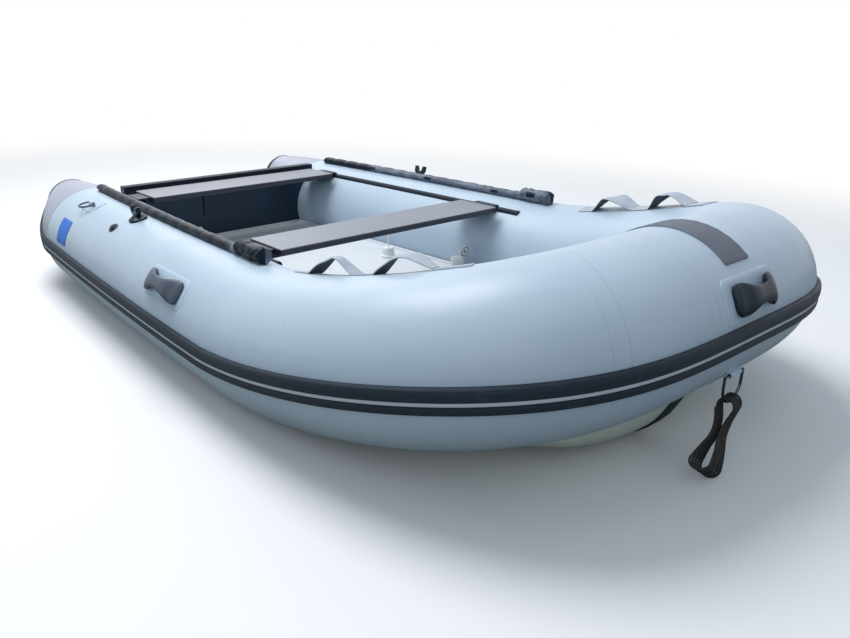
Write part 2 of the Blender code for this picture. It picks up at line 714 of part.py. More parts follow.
drain_x = PAD_WIDTH / 2 + DRAIN_PAD_CLEAR + DRAIN_RADIUS
drain_centre = np.array([drain_x, face_front, DECK_TOP + DRAIN_HEIGHT])
drain_loops = []
for across, out in DRAIN_SHARES:
    drain_loop = []
    for k in range(DRAIN_SIDES):
        turn = 2.0 * math.pi * k / DRAIN_SIDES
        reach = DRAIN_RADIUS * across
        way = np.array([reach * math.cos(turn), PAD_THICKNESS * out, reach * math.sin(turn)])
        drain_loop.append(drain_centre + way)
    drain_loops.append(drain_loop)
drain = loft("drain_plug", drain_loops, WHITE_MOULDED)
move_origin(drain, drain_centre)

# Seat rails: a bead moulded along each tube that the seats' hooks ride on

RAIL_ANGLE = 123.75
RAIL_HALF_ANGLE = 3.4
RAIL_HEIGHT = 0.009
RAIL_AFT_Y = -0.945
RAIL_FORWARD_Y = 0.330
RAIL_SHARES = [(0.8, 0.6), (0.3, 1.0), (-0.3, 1.0), (-0.8, 0.6)]

rail_section = [(RAIL_ANGLE + RAIL_HALF_ANGLE * across, GLUE_GAP) for across in (-1.0, 0.0, 1.0)]
rail_section += [(RAIL_ANGLE + RAIL_HALF_ANGLE * across, RAIL_HEIGHT * up) for across, up in RAIL_SHARES]
for side, start, end in both_sides(length_at_y(RAIL_AFT_Y), length_at_y(RAIL_FORWARD_Y)):
    sweep_profile("seat_rail_" + side, start, end, rail_section, BLACK_RUBBER)

# Seats: two boards, each with a hook at both ends that reaches over the
# rail, so that a seat slides fore and aft

BOARD_BEVEL = 0.004
HOOK_WIDTH = 0.110
HOOK_UNDER = 0.055
HOOK_DEPTH = 0.012
HOOK_INNER = 0.016
HOOK_LEG = 0.008
HOOK_OUTER = 0.012
HOOK_WALL = 0.006
HOOK_CLEAR = 0.0024

seat_bottom = SEAT_TOP - SEAT_THICKNESS
rail_turn = math.radians(RAIL_ANGLE)


def seat(name, y, end_inset):
    """One seat board and its two end hooks. The board ends that far short
    of the rails."""
    rail_x = half_spacing(y) + (TUBE_RADIUS + RAIL_HEIGHT) * math.cos(rail_turn)
    rail_z = TUBE_RADIUS + (TUBE_RADIUS + RAIL_HEIGHT) * math.sin(rail_turn)
    half = rail_x - end_inset
    bpy.ops.mesh.primitive_cube_add(size=1.0, location=(0.0, y, SEAT_TOP - SEAT_THICKNESS / 2))
    board = bpy.context.object
    board.name = name + "_board"
    board.data.transform(Matrix.Diagonal((2 * half, SEAT_WIDTH, SEAT_THICKNESS, 1.0)))
    board.data.materials.append(SEAT_PAINT)
    board.data.shade_smooth()
    bevel = board.modifiers.new("bevel", "BEVEL")
    bevel.width = BOARD_BEVEL
    bevel.segments = 2
    for side, sign in (("starboard", 1.0), ("port", -1.0)):
        outline = [
            (half - HOOK_UNDER, seat_bottom - TOUCH_GAP),
            (half + TOUCH_GAP, seat_bottom - TOUCH_GAP),
            (half + TOUCH_GAP, rail_z + HOOK_CLEAR + HOOK_WALL),
            (rail_x + HOOK_OUTER, rail_z + HOOK_CLEAR + HOOK_WALL),
            (rail_x + HOOK_OUTER, rail_z + HOOK_CLEAR),
            (rail_x - HOOK_INNER, rail_z + HOOK_CLEAR),
            (rail_x - HOOK_INNER - HOOK_LEG, seat_bottom - HOOK_DEPTH),
            (half - HOOK_UNDER, seat_bottom - HOOK_DEPTH),
        ]
        points = [(sign * x, y - HOOK_WIDTH / 2, z) for x, z in outline]
        hook = extrude_outline(name + "_hook_" + side, points, (0.0, HOOK_WIDTH, 0.0), BLACK_MOULDED)
        move_origin(hook, (0.0, y, SEAT_TOP))
    return board


seat("seat_front", FRONT_SEAT_Y, FRONT_SEAT_END_INSET)
seat("seat_rear", REAR_SEAT_Y, REAR_SEAT_END_INSET)

# Carry handles: moulded rubber grips on glued patches, one on each side
# and one on the bow's middle

PATCH_THICKNESS = 0.0015
HANDLE_FOOT = GLUE_GAP + PATCH_THICKNESS + GLUE_GAP
HANDLE_LENGTH = 0.215
HANDLE_HALF_WIDTH = 0.034
HANDLE_HEIGHT = 0.038
HANDLE_WALL = 0.014
HANDLE_ANGLE = 33.75
HANDLE_Y = 0.147
HANDLE_PATCH_LENGTH = 0.250
HANDLE_PATCH_HALF_ANGLE = 13.5
BOW_HANDLE_LENGTH = 0.170
BOW_HANDLE_HALF_WIDTH = 0.036
BOW_HANDLE_ANGLE = 22.5
BOW_PATCH_LENGTH = 0.230
BOW_PATCH_HALF_ANGLE = 15.0
GRIP_LOW_SHARES = [0.0, 0.0, 0.0, 0.55, 1.0, 1.0, 1.0, 0.55, 0.0, 0.0, 0.0]
GRIP_ALONG_SHARES = [0.0, 0.04, 0.15, 0.22, 0.32, 0.5, 0.68, 0.78, 0.85, 0.96, 1.0]
GRIP_TOP_SHARES = [0.25, 0.45, 0.62, 0.86, 1.0, 1.0, 1.0, 0.86, 0.62, 0.45, 0.25]
GRIP_WIDTH_SHARES = [0.75, 0.98, 1.0, 0.80, 0.68, 0.64, 0.68, 0.80, 1.0, 0.98, 0.75]


def grip_slices(height, wall):
    """Slices of a moulded grip: feet at its ends, a finger gap between."""
    gap = height - wall - HANDLE_FOOT
    full = height - HANDLE_FOOT
    return [(along, across, HANDLE_FOOT + gap * low, HANDLE_FOOT + full * top)
            for along, across, low, top in zip(GRIP_ALONG_SHARES, GRIP_WIDTH_SHARES,
                                               GRIP_LOW_SHARES, GRIP_TOP_SHARES)]


def patch(name, place, angle, length, half_angle, material):
    """A thin glued patch round a fitting."""
    return wrap(name, place - length / 2, place + length / 2, angle - half_angle, angle + half_angle,
                GLUE_GAP, GLUE_GAP + PATCH_THICKNESS, material)


handle_place = length_at_y(HANDLE_Y)
for side, place in (("starboard", handle_place), ("port", FULL_LENGTH - handle_place)):
    patch("side_patch_" + side, place, HANDLE_ANGLE, HANDLE_PATCH_LENGTH, HANDLE_PATCH_HALF_ANGLE,
          PALE_PATCH)
    grip("side_handle_" + side, place, HANDLE_ANGLE, HANDLE_LENGTH, HANDLE_HALF_WIDTH,
         grip_slices(HANDLE_HEIGHT, HANDLE_WALL), GREY_MOULDED)
patch("bow_handle_patch", HALF_LENGTH, BOW_HANDLE_ANGLE, BOW_PATCH_LENGTH, BOW_PATCH_HALF_ANGLE, PALE_PATCH)
grip("bow_handle", HALF_LENGTH, BOW_HANDLE_ANGLE, BOW_HANDLE_LENGTH, BOW_HANDLE_HALF_WIDTH,
     grip_slices(HANDLE_HEIGHT, HANDLE_WALL), BLACK_MOULDED)

# Wearing strip over the bow's middle, where the anchor line runs

WEAR_STRIP_WIDTH = 0.104
WEAR_STRIP_LOW_ANGLE = 45.0
WEAR_STRIP_HIGH_ANGLE = 157.5
WEAR_STRIP_THICKNESS = 0.003

wrap("bow_wear_patch", HALF_LENGTH - WEAR_STRIP_WIDTH / 2, HALF_LENGTH + WEAR_STRIP_WIDTH / 2,
     WEAR_STRIP_LOW_ANGLE, WEAR_STRIP_HIGH_ANGLE, GLUE_GAP, GLUE_GAP + WEAR_STRIP_THICKNESS, PATCH_RUBBER)

# D-rings: bent wire rings that swing in a sleeve on a glued patch. One
# tows the boat and one sits on top of each stern

RING_WIRE = 0.0036
SLEEVE_WALL = 0.0028
SLEEVE_SIDES = 10
RING_ARC_POINTS = 13
RING_SHOULDER_SHARE = 0.42
SLEEVE_LENGTH_SHARE = 0.55
WEB_WIDTH_SHARE = 0.8
WEB_TOP_SHARE = 0.48
PATCH_SINK_SHARE = 0.4
TOW_RING_WIDTH = 0.084
TOW_RING_DROP = 0.072
TOW_RING_ANGLE = -33.75
TOW_RING_LAY = 33.75
STERN_RING_WIDTH = 0.068
STERN_RING_DROP = 0.050
STERN_RING_ANGLE = 67.5
STERN_RING_Y = -0.760
STERN_RING_LAY = 14.0
RING_PATCH_LENGTH = 0.110
RING_PATCH_HALF_ANGLE = 10.0

sleeve_bore = RING_WIRE + RUNNING_GAP
sleeve_radius = sleeve_bore + SLEEVE_WALL
bar_height = GLUE_GAP + PATCH_THICKNESS + GLUE_GAP + sleeve_radius
pivots = []


def ring_and_patch(name, place, angle, lay, width, drop):
    """A D-ring, the patch it is glued on with and the sleeve its bar runs
    in. The lay is the angle between the ring and the tube."""
    along, around, off = tube_frame(place, angle)
    base = tube_point(place, angle)
    bar = base + off * bar_height
    turn = math.radians(lay)
    fall = -around * math.cos(turn) + off * math.sin(turn)
    points = [bar + along * width / 2, bar, bar - along * width / 2]
    for k in range(RING_ARC_POINTS):
        arc = math.pi * k / (RING_ARC_POINTS - 1)
        reach = drop * (RING_SHOULDER_SHARE + (1.0 - RING_SHOULDER_SHARE) * math.sin(arc))
        points.append(bar - along * width / 2 * math.cos(arc) + fall * reach)
    ring = wire_loop(name, points, RING_WIRE, STEEL)
    move_origin(ring, bar)
    pivots.append((ring, along))
    glued = patch(name + "_patch", place, angle, RING_PATCH_LENGTH, RING_PATCH_HALF_ANGLE, PALE_PATCH)
    sleeve_half = along * width * SLEEVE_LENGTH_SHARE / 2
    loops = []
    for radius, end in ((sleeve_radius, -1.0), (sleeve_radius, 1.0),
                        (sleeve_bore, 1.0), (sleeve_bore, -1.0)):
        loop = []
        for k in range(SLEEVE_SIDES):
            round_turn = 2.0 * math.pi * k / SLEEVE_SIDES
            way = around * math.cos(round_turn) + off * math.sin(round_turn)
            loop.append(bar + way * radius + sleeve_half * end)
        loops.append(loop)
    sleeve = loft(name + "_sleeve", loops, PALE_PATCH, closed=True)
    web_half = around * sleeve_radius * WEB_WIDTH_SHARE
    web_low = off * (GLUE_GAP + PATCH_THICKNESS * PATCH_SINK_SHARE)
    web_high = off * (bar_height - sleeve_bore - SLEEVE_WALL * WEB_TOP_SHARE)
    foot = [base - web_half + web_low, base + web_half + web_low,
            base + web_half * PATCH_SINK_SHARE + web_high, base - web_half * PATCH_SINK_SHARE + web_high]
    web_outline = [point - sleeve_half for point in foot]
    web = extrude_outline(name + "_web", web_outline, sleeve_half * 2.0, PALE_PATCH)
    join_by_union(glued, (sleeve, web))
    return bar, fall


tow_bar, tow_fall = ring_and_patch("tow_ring", HALF_LENGTH, TOW_RING_ANGLE, TOW_RING_LAY,
                                   TOW_RING_WIDTH, TOW_RING_DROP)
stern_place = length_at_y(STERN_RING_Y)
for side, place in (("starboard", stern_place), ("port", FULL_LENGTH - stern_place)):
    ring_and_patch("stern_ring_" + side, place, STERN_RING_ANGLE, STERN_RING_LAY,
                   STERN_RING_WIDTH, STERN_RING_DROP)

# Oarlocks: a round base on each tube with a forked horn that turns in it

OARLOCK_Y = -0.375
OARLOCK_ANGLE = 78.75
OARLOCK_BASE_RADIUS = 0.033
OARLOCK_BASE_HEIGHT = 0.014
OARLOCK_BASE_SHARES = [(1.0, 0.35), (0.72, 0.75), (0.60, 1.0)]
HORN_WIDTH = 0.018
HORN_HALF_SPAN = 0.027
HORN_THROAT_HALF = 0.0165
HORN_HEIGHT = 0.034
HORN_SHARES = [(-0.55, 0.0), (0.55, 0.0), (0.80, 0.10), (1.0, 0.36),
               (1.0, 0.94), (0.88, 1.0), (0.70, 0.96)]
THROAT_SHARES = [(1.0, 0.66), (0.72, 0.36), (0.28, 0.25),
                 (-0.28, 0.25), (-0.72, 0.36), (-1.0, 0.66)]

oarlock_place = length_at_y(OARLOCK_Y)
for side, place in (("starboard", oarlock_place), ("port", FULL_LENGTH - oarlock_place)):
    round_fitting("oarlock_base_" + side, place, OARLOCK_ANGLE, OARLOCK_BASE_RADIUS, OARLOCK_BASE_HEIGHT,
                  OARLOCK_BASE_SHARES, BLACK_MOULDED)
    along, around, off = tube_frame(place, OARLOCK_ANGLE)
    foot = tube_point(place, OARLOCK_ANGLE, GLUE_GAP) + off * (OARLOCK_BASE_HEIGHT + TOUCH_GAP)
    outline = [(HORN_HALF_SPAN * across, HORN_HEIGHT * up) for across, up in HORN_SHARES]
    outline += [(HORN_THROAT_HALF * across, HORN_HEIGHT * up) for across, up in THROAT_SHARES]
    outline += [(-HORN_HALF_SPAN * across, HORN_HEIGHT * up) for across, up in HORN_SHARES[:1:-1]]
    points = [foot + along * across + off * up - around * HORN_WIDTH / 2 for across, up in outline]
    horn = extrude_outline("oarlock_" + side, points, tuple(around * HORN_WIDTH), BLACK_MOULDED)
    move_origin(horn, foot)
    pivots.append((horn, off))

# Air valves on the side chambers, just aft of the oarlocks

AIR_VALVE_Y = -0.425
AIR_VALVE_ANGLE = 56.25
AIR_VALVE_RADIUS = 0.019
AIR_VALVE_HEIGHT = 0.009
AIR_VALVE_SHARES = [(1.0, 0.3), (0.8, 0.5), (0.62, 0.5), (0.55, 1.0)]

valve_place = length_at_y(AIR_VALVE_Y)
for side, place in (("starboard", valve_place), ("port", FULL_LENGTH - valve_place)):
    round_fitting("air_valve_" + side, place, AIR_VALVE_ANGLE, AIR_VALVE_RADIUS, AIR_VALVE_HEIGHT,
                  AIR_VALVE_SHARES, BLACK_MOULDED)

# Deck and keel valves: white bodies that stand on the deck by the port
# tube. One holds a stopper on a thin stem, the other a cap on a short
# tongue, and both stand open

DECK_VALVE_Y = -0.145
DECK_VALVE_INSET = 0.144
KEEL_VALVE_Y = 0.146
KEEL_VALVE_INSET = 0.0416
VALVE_RADIUS = 0.030
VALVE_HEIGHT = 0.044
VALVE_SIDES = 16
VALVE_SHARES = [(1.0, 0.0), (1.0, 0.22), (0.86, 0.28), (0.82, 0.90), (0.74, 1.0)]
STOPPER_RADIUS = 0.011
STOPPER_THICKNESS = 0.009
STEM_LENGTH = 0.066
STEM_WIDTH = 0.0045
CAP_RADIUS = 0.026
CAP_THICKNESS = 0.010
TONGUE_WIDTH = 0.011
TONGUE_THICKNESS = 0.003
TONGUE_LENGTH = 0.0022
LUG_REACH = 0.0040
LUG_CLEAR = 0.0015
LUG_LOW_SHARE = 0.5
LUG_HIGH_SHARE = 0.96
LUG_ROOT_SHARE = 0.5
CAP_LEAN = 15.0
ARM_SINK_SHARE = 0.5
ARM_FOOT_STEPS = 6
CAP_SECTION_SHARES = [(0.90, -0.5), (1.0, -0.2), (1.0, 0.2), (0.62, 0.25), (0.58, 0.5)]

deck_valve_x = TUBE_RADIUS + DECK_VALVE_INSET - half_spacing(DECK_VALVE_Y)
keel_valve_x = TUBE_RADIUS + KEEL_VALVE_INSET - half_spacing(KEEL_VALVE_Y)
valve_top = DECK_TOP + TOUCH_GAP + VALVE_HEIGHT


def valve(name, x, y):
    """The body of a valve: a flanged round tower with a bevelled top."""
    turns = [2.0 * math.pi * k / VALVE_SIDES for k in range(VALVE_SIDES)]
    loops = []
    for across, up in VALVE_SHARES:
        reach = VALVE_RADIUS * across
        height = DECK_TOP + TOUCH_GAP + VALVE_HEIGHT * up
        loops.append([np.array([x + reach * math.cos(turn), y + reach * math.sin(turn), height])
                      for turn in turns])
    return loft(name, loops, WHITE_MOULDED)


def valve_cap(name, hinge, length, radius, thickness, width, depth, lean):
    """A round cap on an arm that turns about a line along X."""
    turn = math.radians(lean)
    rise = np.array([0.0, math.sin(turn), math.cos(turn)])
    off = np.array([0.0, -math.cos(turn), math.sin(turn)])
    side = np.array([1.0, 0.0, 0.0])
    centre = hinge + rise * (length + radius)
    turns = [2.0 * math.pi * k / VALVE_SIDES for k in range(VALVE_SIDES)]
    ways = [side * math.cos(turn) + rise * math.sin(turn) for turn in turns]
    disc = [[centre + way * radius * reach + off * thickness * out for way in ways]
            for reach, out in CAP_SECTION_SHARES]
    cap = loft(name, disc, WHITE_MOULDED)
    foot_turns = [math.pi * (1.0 + k / ARM_FOOT_STEPS) for k in range(ARM_FOOT_STEPS + 1)]
    foot = [(depth / 2 * math.cos(around), depth / 2 * math.sin(around)) for around in foot_turns]
    arm_end = length + radius * ARM_SINK_SHARE
    outline = foot + [(depth / 2, arm_end), (-depth / 2, arm_end)]
    arm_outline = [hinge + off * out + rise * up - side * width / 2 for out, up in outline]
    arm = extrude_outline(name + "_arm", arm_outline, side * width, WHITE_MOULDED)
    join_by_union(cap, (arm,))
    move_origin(cap, hinge)
    pivots.append((cap, side))


valve("deck_valve", deck_valve_x, DECK_VALVE_Y)
stopper_hinge = np.array([deck_valve_x, DECK_VALVE_Y, valve_top + STEM_WIDTH / 2 + TOUCH_GAP])
valve_cap("deck_valve_stopper", stopper_hinge, STEM_LENGTH, STOPPER_RADIUS, STOPPER_THICKNESS,
          STEM_WIDTH, STEM_WIDTH, 0.0)
keel_valve = valve("keel_valve", keel_valve_x, KEEL_VALVE_Y)
cap_reach = TONGUE_LENGTH + CAP_RADIUS
cap_hinge = np.array([keel_valve_x, KEEL_VALVE_Y + cap_reach, valve_top + CAP_THICKNESS / 2 + TOUCH_GAP])
valve_cap("keel_valve_cap", cap_hinge, TONGUE_LENGTH, CAP_RADIUS, CAP_THICKNESS, TONGUE_WIDTH,
          TONGUE_THICKNESS, CAP_LEAN)
lug_top = float(cap_hinge[2]) - TONGUE_THICKNESS / 2 - TOUCH_GAP
valve_foot = valve_top - VALVE_HEIGHT
lug_low = valve_foot + VALVE_HEIGHT * LUG_LOW_SHARE
lug_high = valve_foot + VALVE_HEIGHT * LUG_HIGH_SHARE
lug_root = VALVE_RADIUS * LUG_ROOT_SHARE
lug_section = [(lug_root, lug_low), (cap_reach + LUG_REACH, lug_low), (cap_reach + LUG_REACH, lug_top),
               (cap_reach - LUG_CLEAR, lug_top), (cap_reach - LUG_CLEAR, lug_high), (lug_root, lug_high)]
lug_outline = [np.array([keel_valve_x - TONGUE_WIDTH / 2, KEEL_VALVE_Y + y, z]) for y, z in lug_section]
lug = extrude_outline("keel_valve_lug", lug_outline, (TONGUE_WIDTH, 0.0, 0.0), WHITE_MOULDED)
join_by_union(keel_valve, (lug,))

# Webbing hand straps on top of the bow quarters, each with two raised loops

WEBBING_ANGLE = 101.25
WEBBING_HALF_WIDTH = 0.024
WEBBING_THICKNESS = 0.0030
WEBBING_START_Y = 0.590
LOOP_HEIGHT = 0.043
FLAT_LENGTH = 0.060
LOOP_LENGTH = 0.190
LOOP_SPACING = 0.255
TAIL_LENGTH = 0.085
LOOP_SHARES = [(0.0, 0.0), (0.06, 0.10), (0.16, 0.42), (0.28, 0.78), (0.38, 0.97), (0.50, 1.0),
               (0.62, 0.96), (0.74, 0.72), (0.86, 0.34), (0.95, 0.07), (1.0, 0.0)]


def webbing_route():
    """Places along the tube and heights of the strap's underside."""
    start = length_at_y(WEBBING_START_Y)
    route = [(start, 0.0)]
    for loop in range(2):
        foot = start + FLAT_LENGTH + loop * LOOP_SPACING
        route += [(foot + LOOP_LENGTH * along, LOOP_HEIGHT * up) for along, up in LOOP_SHARES]
    route.append((route[-1][0] + TAIL_LENGTH, 0.0))
    return route


def on_face(route):
    """Add the tube's rings to the flat stretches of the route."""
    full = [route[0]]
    for (near, near_up), (far, far_up) in zip(route[:-1], route[1:]):
        slope = (far_up - near_up) / (far - near)
        full += [(place, near_up + slope * (place - near)) for place in between(near, far, PLACES)[1:-1]]
        full.append((far, far_up))
    return full


webbing_turn = math.degrees(WEBBING_HALF_WIDTH / TUBE_RADIUS)
webbing_section = [(-1.0, 0.0), (0.0, 0.0), (1.0, 0.0), (1.0, 1.0), (0.0, 1.0), (-1.0, 1.0)]
for side in ("starboard", "port"):
    loops = []
    for place, height in on_face(webbing_route()):
        low = GLUE_GAP + height
        here = place if side == "starboard" else FULL_LENGTH - place
        loops.append([tube_point(here, WEBBING_ANGLE + webbing_turn * across, low + WEBBING_THICKNESS * up)
                      for across, up in webbing_section])
    loft("webbing_" + side, loops, WEBBING)

# Padded rolls strapped along the top of each side tube

ROLL_RADIUS = 0.0190
ROLL_HEAD_RADIUS = 0.0250
ROLL_HEAD_Y = 0.250
ROLL_ANGLE = 95.625
ROLL_AFT_Y = -0.985
ROLL_FORWARD_Y = 0.415
ROLL_SIDES = 16
ROLL_END_SHARES = [(0.0, 0.55), (0.25, 0.86), (1.0, 1.0)]

roll_start = length_at_y(ROLL_AFT_Y)
roll_end = length_at_y(ROLL_FORWARD_Y)
roll_head = length_at_y(ROLL_HEAD_Y)
roll_turns = [2.0 * math.pi * k / ROLL_SIDES for k in range(ROLL_SIDES)]
for side in ("starboard", "port"):
    places = [(roll_start + ROLL_RADIUS * along, ROLL_RADIUS * across) for along, across in ROLL_END_SHARES]
    places += [(place, ROLL_RADIUS) for place in between(places[-1][0], roll_head, PLACES)[1:]]
    places += [(roll_head + ROLL_HEAD_RADIUS, ROLL_HEAD_RADIUS)]
    head_marks = between(places[-1][0], roll_end - ROLL_HEAD_RADIUS, PLACES)[1:-1]
    places += [(place, ROLL_HEAD_RADIUS) for place in head_marks]
    places += [(roll_end - ROLL_HEAD_RADIUS * along, ROLL_HEAD_RADIUS * across)
               for along, across in reversed(ROLL_END_SHARES)]
    loops = []
    for place, radius in places:
        here = place if side == "starboard" else FULL_LENGTH - place
        along, around, off = tube_frame(here, ROLL_ANGLE)
        middle = tube_point(here, ROLL_ANGLE) + off * (radius + GLUE_GAP)
        ways = [around * math.cos(turn) + off * math.sin(turn) for turn in roll_turns]
        loops.append([middle + way * radius for way in ways])
    loft("roll_" + side, loops, ROLL_FABRIC)

# Plain coloured patch on the outside of each stern

LABEL_AFT_Y = -0.890
LABEL_FORWARD_Y = -0.775
LABEL_LOW_ANGLE = 11.25
LABEL_HIGH_ANGLE = 39.375

for side, start, end in both_sides(length_at_y(LABEL_AFT_Y), length_at_y(LABEL_FORWARD_Y)):
    wrap("label_patch_" + side, start, end, LABEL_LOW_ANGLE, LABEL_HIGH_ANGLE,
         GLUE_GAP, GLUE_GAP + PATCH_THICKNESS, BLUE_PATCH)

# Painter: the mooring line, made up into a hank that hangs from the tow
# ring and leans on the ground beside it. Its loops lie side by side, are
# drawn in above and fan out below, each a little shorter than the last

ROPE_RADIUS = 0.0032
HANK_LOOPS = 5
HANK_PITCH = 0.0076
HANK_HALF_WIDTH = 0.026
HANK_WAIST_SHARE = 0.30
HANK_WAIST_HEIGHT_SHARE = 0.15
HANK_WAIST_SPREAD_SHARE = 0.60
HANK_SPREAD_SHARE = 0.6
HANK_LEAN_ACROSS = 0.086
HANK_LEAN_AFT = 0.004
HANK_FLOOR = 0.004
HANK_LEAN_POWER = 1.5
HANK_FAN = 0.0090
HANK_FAN_POWER = 2.0
HANK_STEP = 0.0120
FOLD_STEPS = 8
RUN_STEPS = 4
HANK_CLEAR = 0.0006

ring_low = tow_bar + tow_fall * TOW_RING_DROP
hank_lift = RING_WIRE + ROPE_RADIUS + HANK_CLEAR
hank_top = float(ring_low[2]) + hank_lift
hank_half = (hank_top - HANK_FLOOR) / 2
hank_middle = np.array([0.0, float(ring_low[1]), HANK_FLOOR + hank_half])


def over_ring(across, height):
    """How much higher than in its middle the hank passes over the ring,
    which curves up to both sides."""
    share = min(abs(across) / (TOW_RING_WIDTH / 2), HANK_SPREAD_SHARE)
    rise = TOW_RING_DROP * (1.0 - RING_SHOULDER_SHARE)
    flat = math.sqrt(1.0 - share ** 2)
    slope = rise * share / (flat * TOW_RING_WIDTH / 2)
    return (rise * (1.0 - flat) + hank_lift * (math.sqrt(1.0 + slope ** 2) - 1.0)) * max(height, 0.0) ** 2


def hank_loop():
    """One loop's points as (along, height, climb): over the top fold, down
    a run, round the lower fold and up the other run, where it climbs."""
    straight = hank_half - HANK_HALF_WIDTH
    points = []
    for k in range(FOLD_STEPS):
        turn = math.pi * (1.0 - k / FOLD_STEPS)
        points.append((HANK_HALF_WIDTH * math.cos(turn), straight + HANK_HALF_WIDTH * math.sin(turn), 0.0))
    for k in range(RUN_STEPS):
        points.append((HANK_HALF_WIDTH, straight * (1.0 - 2.0 * k / RUN_STEPS), 0.0))
    for k in range(FOLD_STEPS):
        turn = -math.pi * k / FOLD_STEPS
        points.append((HANK_HALF_WIDTH * math.cos(turn), -straight + HANK_HALF_WIDTH * math.sin(turn), 0.0))
    for k in range(RUN_STEPS):
        points.append((-HANK_HALF_WIDTH, -straight * (1.0 - 2.0 * k / RUN_STEPS), k / RUN_STEPS))
    return points


hank_route = []
for loop in range(HANK_LOOPS):
    hank_route += [(along, height, loop + climb) for along, height, climb in hank_loop()]
hank_route.append((hank_route[0][0], hank_route[0][1], float(HANK_LOOPS)))
hank_points = []
for along, height, climb in hank_route:
    share = max(min(height / hank_half, 1.0), -1.0)
    waist = 1.0 - (1.0 - HANK_WAIST_SHARE) * math.exp(
        -((share - HANK_WAIST_HEIGHT_SHARE) / HANK_WAIST_SPREAD_SHARE) ** 2)
    drop = (1.0 - share) / 2
    leaning = drop ** HANK_LEAN_POWER
    opening = drop ** HANK_FAN_POWER
    across = (climb - HANK_LOOPS / 2) * (HANK_PITCH + HANK_FAN * opening)
    offset = np.array([across + HANK_LEAN_ACROSS * leaning, along * waist - HANK_LEAN_AFT * leaning,
                       height + over_ring(across, share) + HANK_STEP * climb * opening])
    hank_points.append(hank_middle + offset)


def self_gap(points, radius, apart):
    """The least clear distance between stretches of one tube that lie at
    least so many points apart."""
    starts = np.array(points[:-1])
    ways = np.array(points[1:]) - starts
    shares = np.linspace(0.0, 1.0, 9)
    samples = (starts[:, None, :] + ways[:, None, :] * shares[None, :, None])
    least = np.inf
    for k in range(len(starts) - apart):
        gaps = samples[k][:, None, None, :] - samples[None, k + apart:, :, :]
        least = min(least, float(np.sqrt((gaps ** 2).sum(axis=-1)).min()))
    return least - 2.0 * radius


print("painter hank least gap to itself, mm:", round(self_gap(hank_points, ROPE_RADIUS, 6) * 1000, 2))
curve = bpy.data.curves.new("painter_hank", "CURVE")
curve.dimensions = "3D"
curve.bevel_depth = ROPE_RADIUS
curve.bevel_resolution = 1
curve.use_fill_caps = True
spline = curve.splines.new("POLY")
spline.points.add(len(hank_points) - 1)
for knot, point in zip(spline.points, hank_points):
    knot.co = (*point, 1.0)
curve.materials.append(ROPE)
hank = bpy.data.objects.new("painter_hank", curve)
bpy.context.scene.collection.objects.link(hank)

# The boat's box, the hanging hank left out, is centred over the origin

bpy.context.view_layer.update()
depsgraph = bpy.context.evaluated_depsgraph_get()
lows = []
highs = []
for thing in bpy.data.objects:
    if thing.hide_render or thing is hank:
        continue
    shown = thing.evaluated_get(depsgraph)
    corners = [shown.matrix_world @ vertex.co for vertex in shown.to_mesh().vertices]
    shown.to_mesh_clear()
    lows.append(min(corner.y for corner in corners))
    highs.append(max(corner.y for corner in corners))
shift = -(min(lows) + max(highs)) / 2
for thing in bpy.data.objects:
    thing.location.y += shift
print("moved along Y by, mm:", round(shift * 1000, 3))
for thing, axis in pivots:
    middle = [round(v, 5) for v in thing.location]
    print(thing.name, "turns at", middle, "about", [round(float(v), 5) for v in axis])
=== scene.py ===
import math

import bpy
import numpy as np
from mathutils import Matrix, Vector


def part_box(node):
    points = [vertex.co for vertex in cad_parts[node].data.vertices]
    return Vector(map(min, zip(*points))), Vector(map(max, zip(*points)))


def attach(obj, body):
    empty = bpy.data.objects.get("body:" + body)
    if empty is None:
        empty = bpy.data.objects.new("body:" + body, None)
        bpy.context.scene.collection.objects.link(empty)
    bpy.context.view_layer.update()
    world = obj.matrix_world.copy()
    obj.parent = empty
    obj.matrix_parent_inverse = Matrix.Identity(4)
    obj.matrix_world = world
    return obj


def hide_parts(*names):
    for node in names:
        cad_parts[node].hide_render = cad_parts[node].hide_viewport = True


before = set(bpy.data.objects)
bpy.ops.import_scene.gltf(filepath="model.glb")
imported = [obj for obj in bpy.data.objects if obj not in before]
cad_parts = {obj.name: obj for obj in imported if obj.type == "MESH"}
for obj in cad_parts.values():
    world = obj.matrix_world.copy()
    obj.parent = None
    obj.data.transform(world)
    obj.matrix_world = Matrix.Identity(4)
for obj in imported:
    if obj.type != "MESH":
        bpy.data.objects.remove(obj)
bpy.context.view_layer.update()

# Camera: it stands off the starboard bow, a little above the seats, and
# looks aft over the cockpit. Its lens and centre are given in pixels.

EYE = (1.6910, 2.1605, 1.0165)
EYE_TURN = math.radians(141.06)
EYE_FALL = math.radians(19.12)
EYE_ROLL = math.radians(-0.13)
IMAGE = (850, 638)
FOCAL_PIXELS = 763.6
OPTICAL_CENTRE = (370.7, 300.1)
SENSOR = 36.0

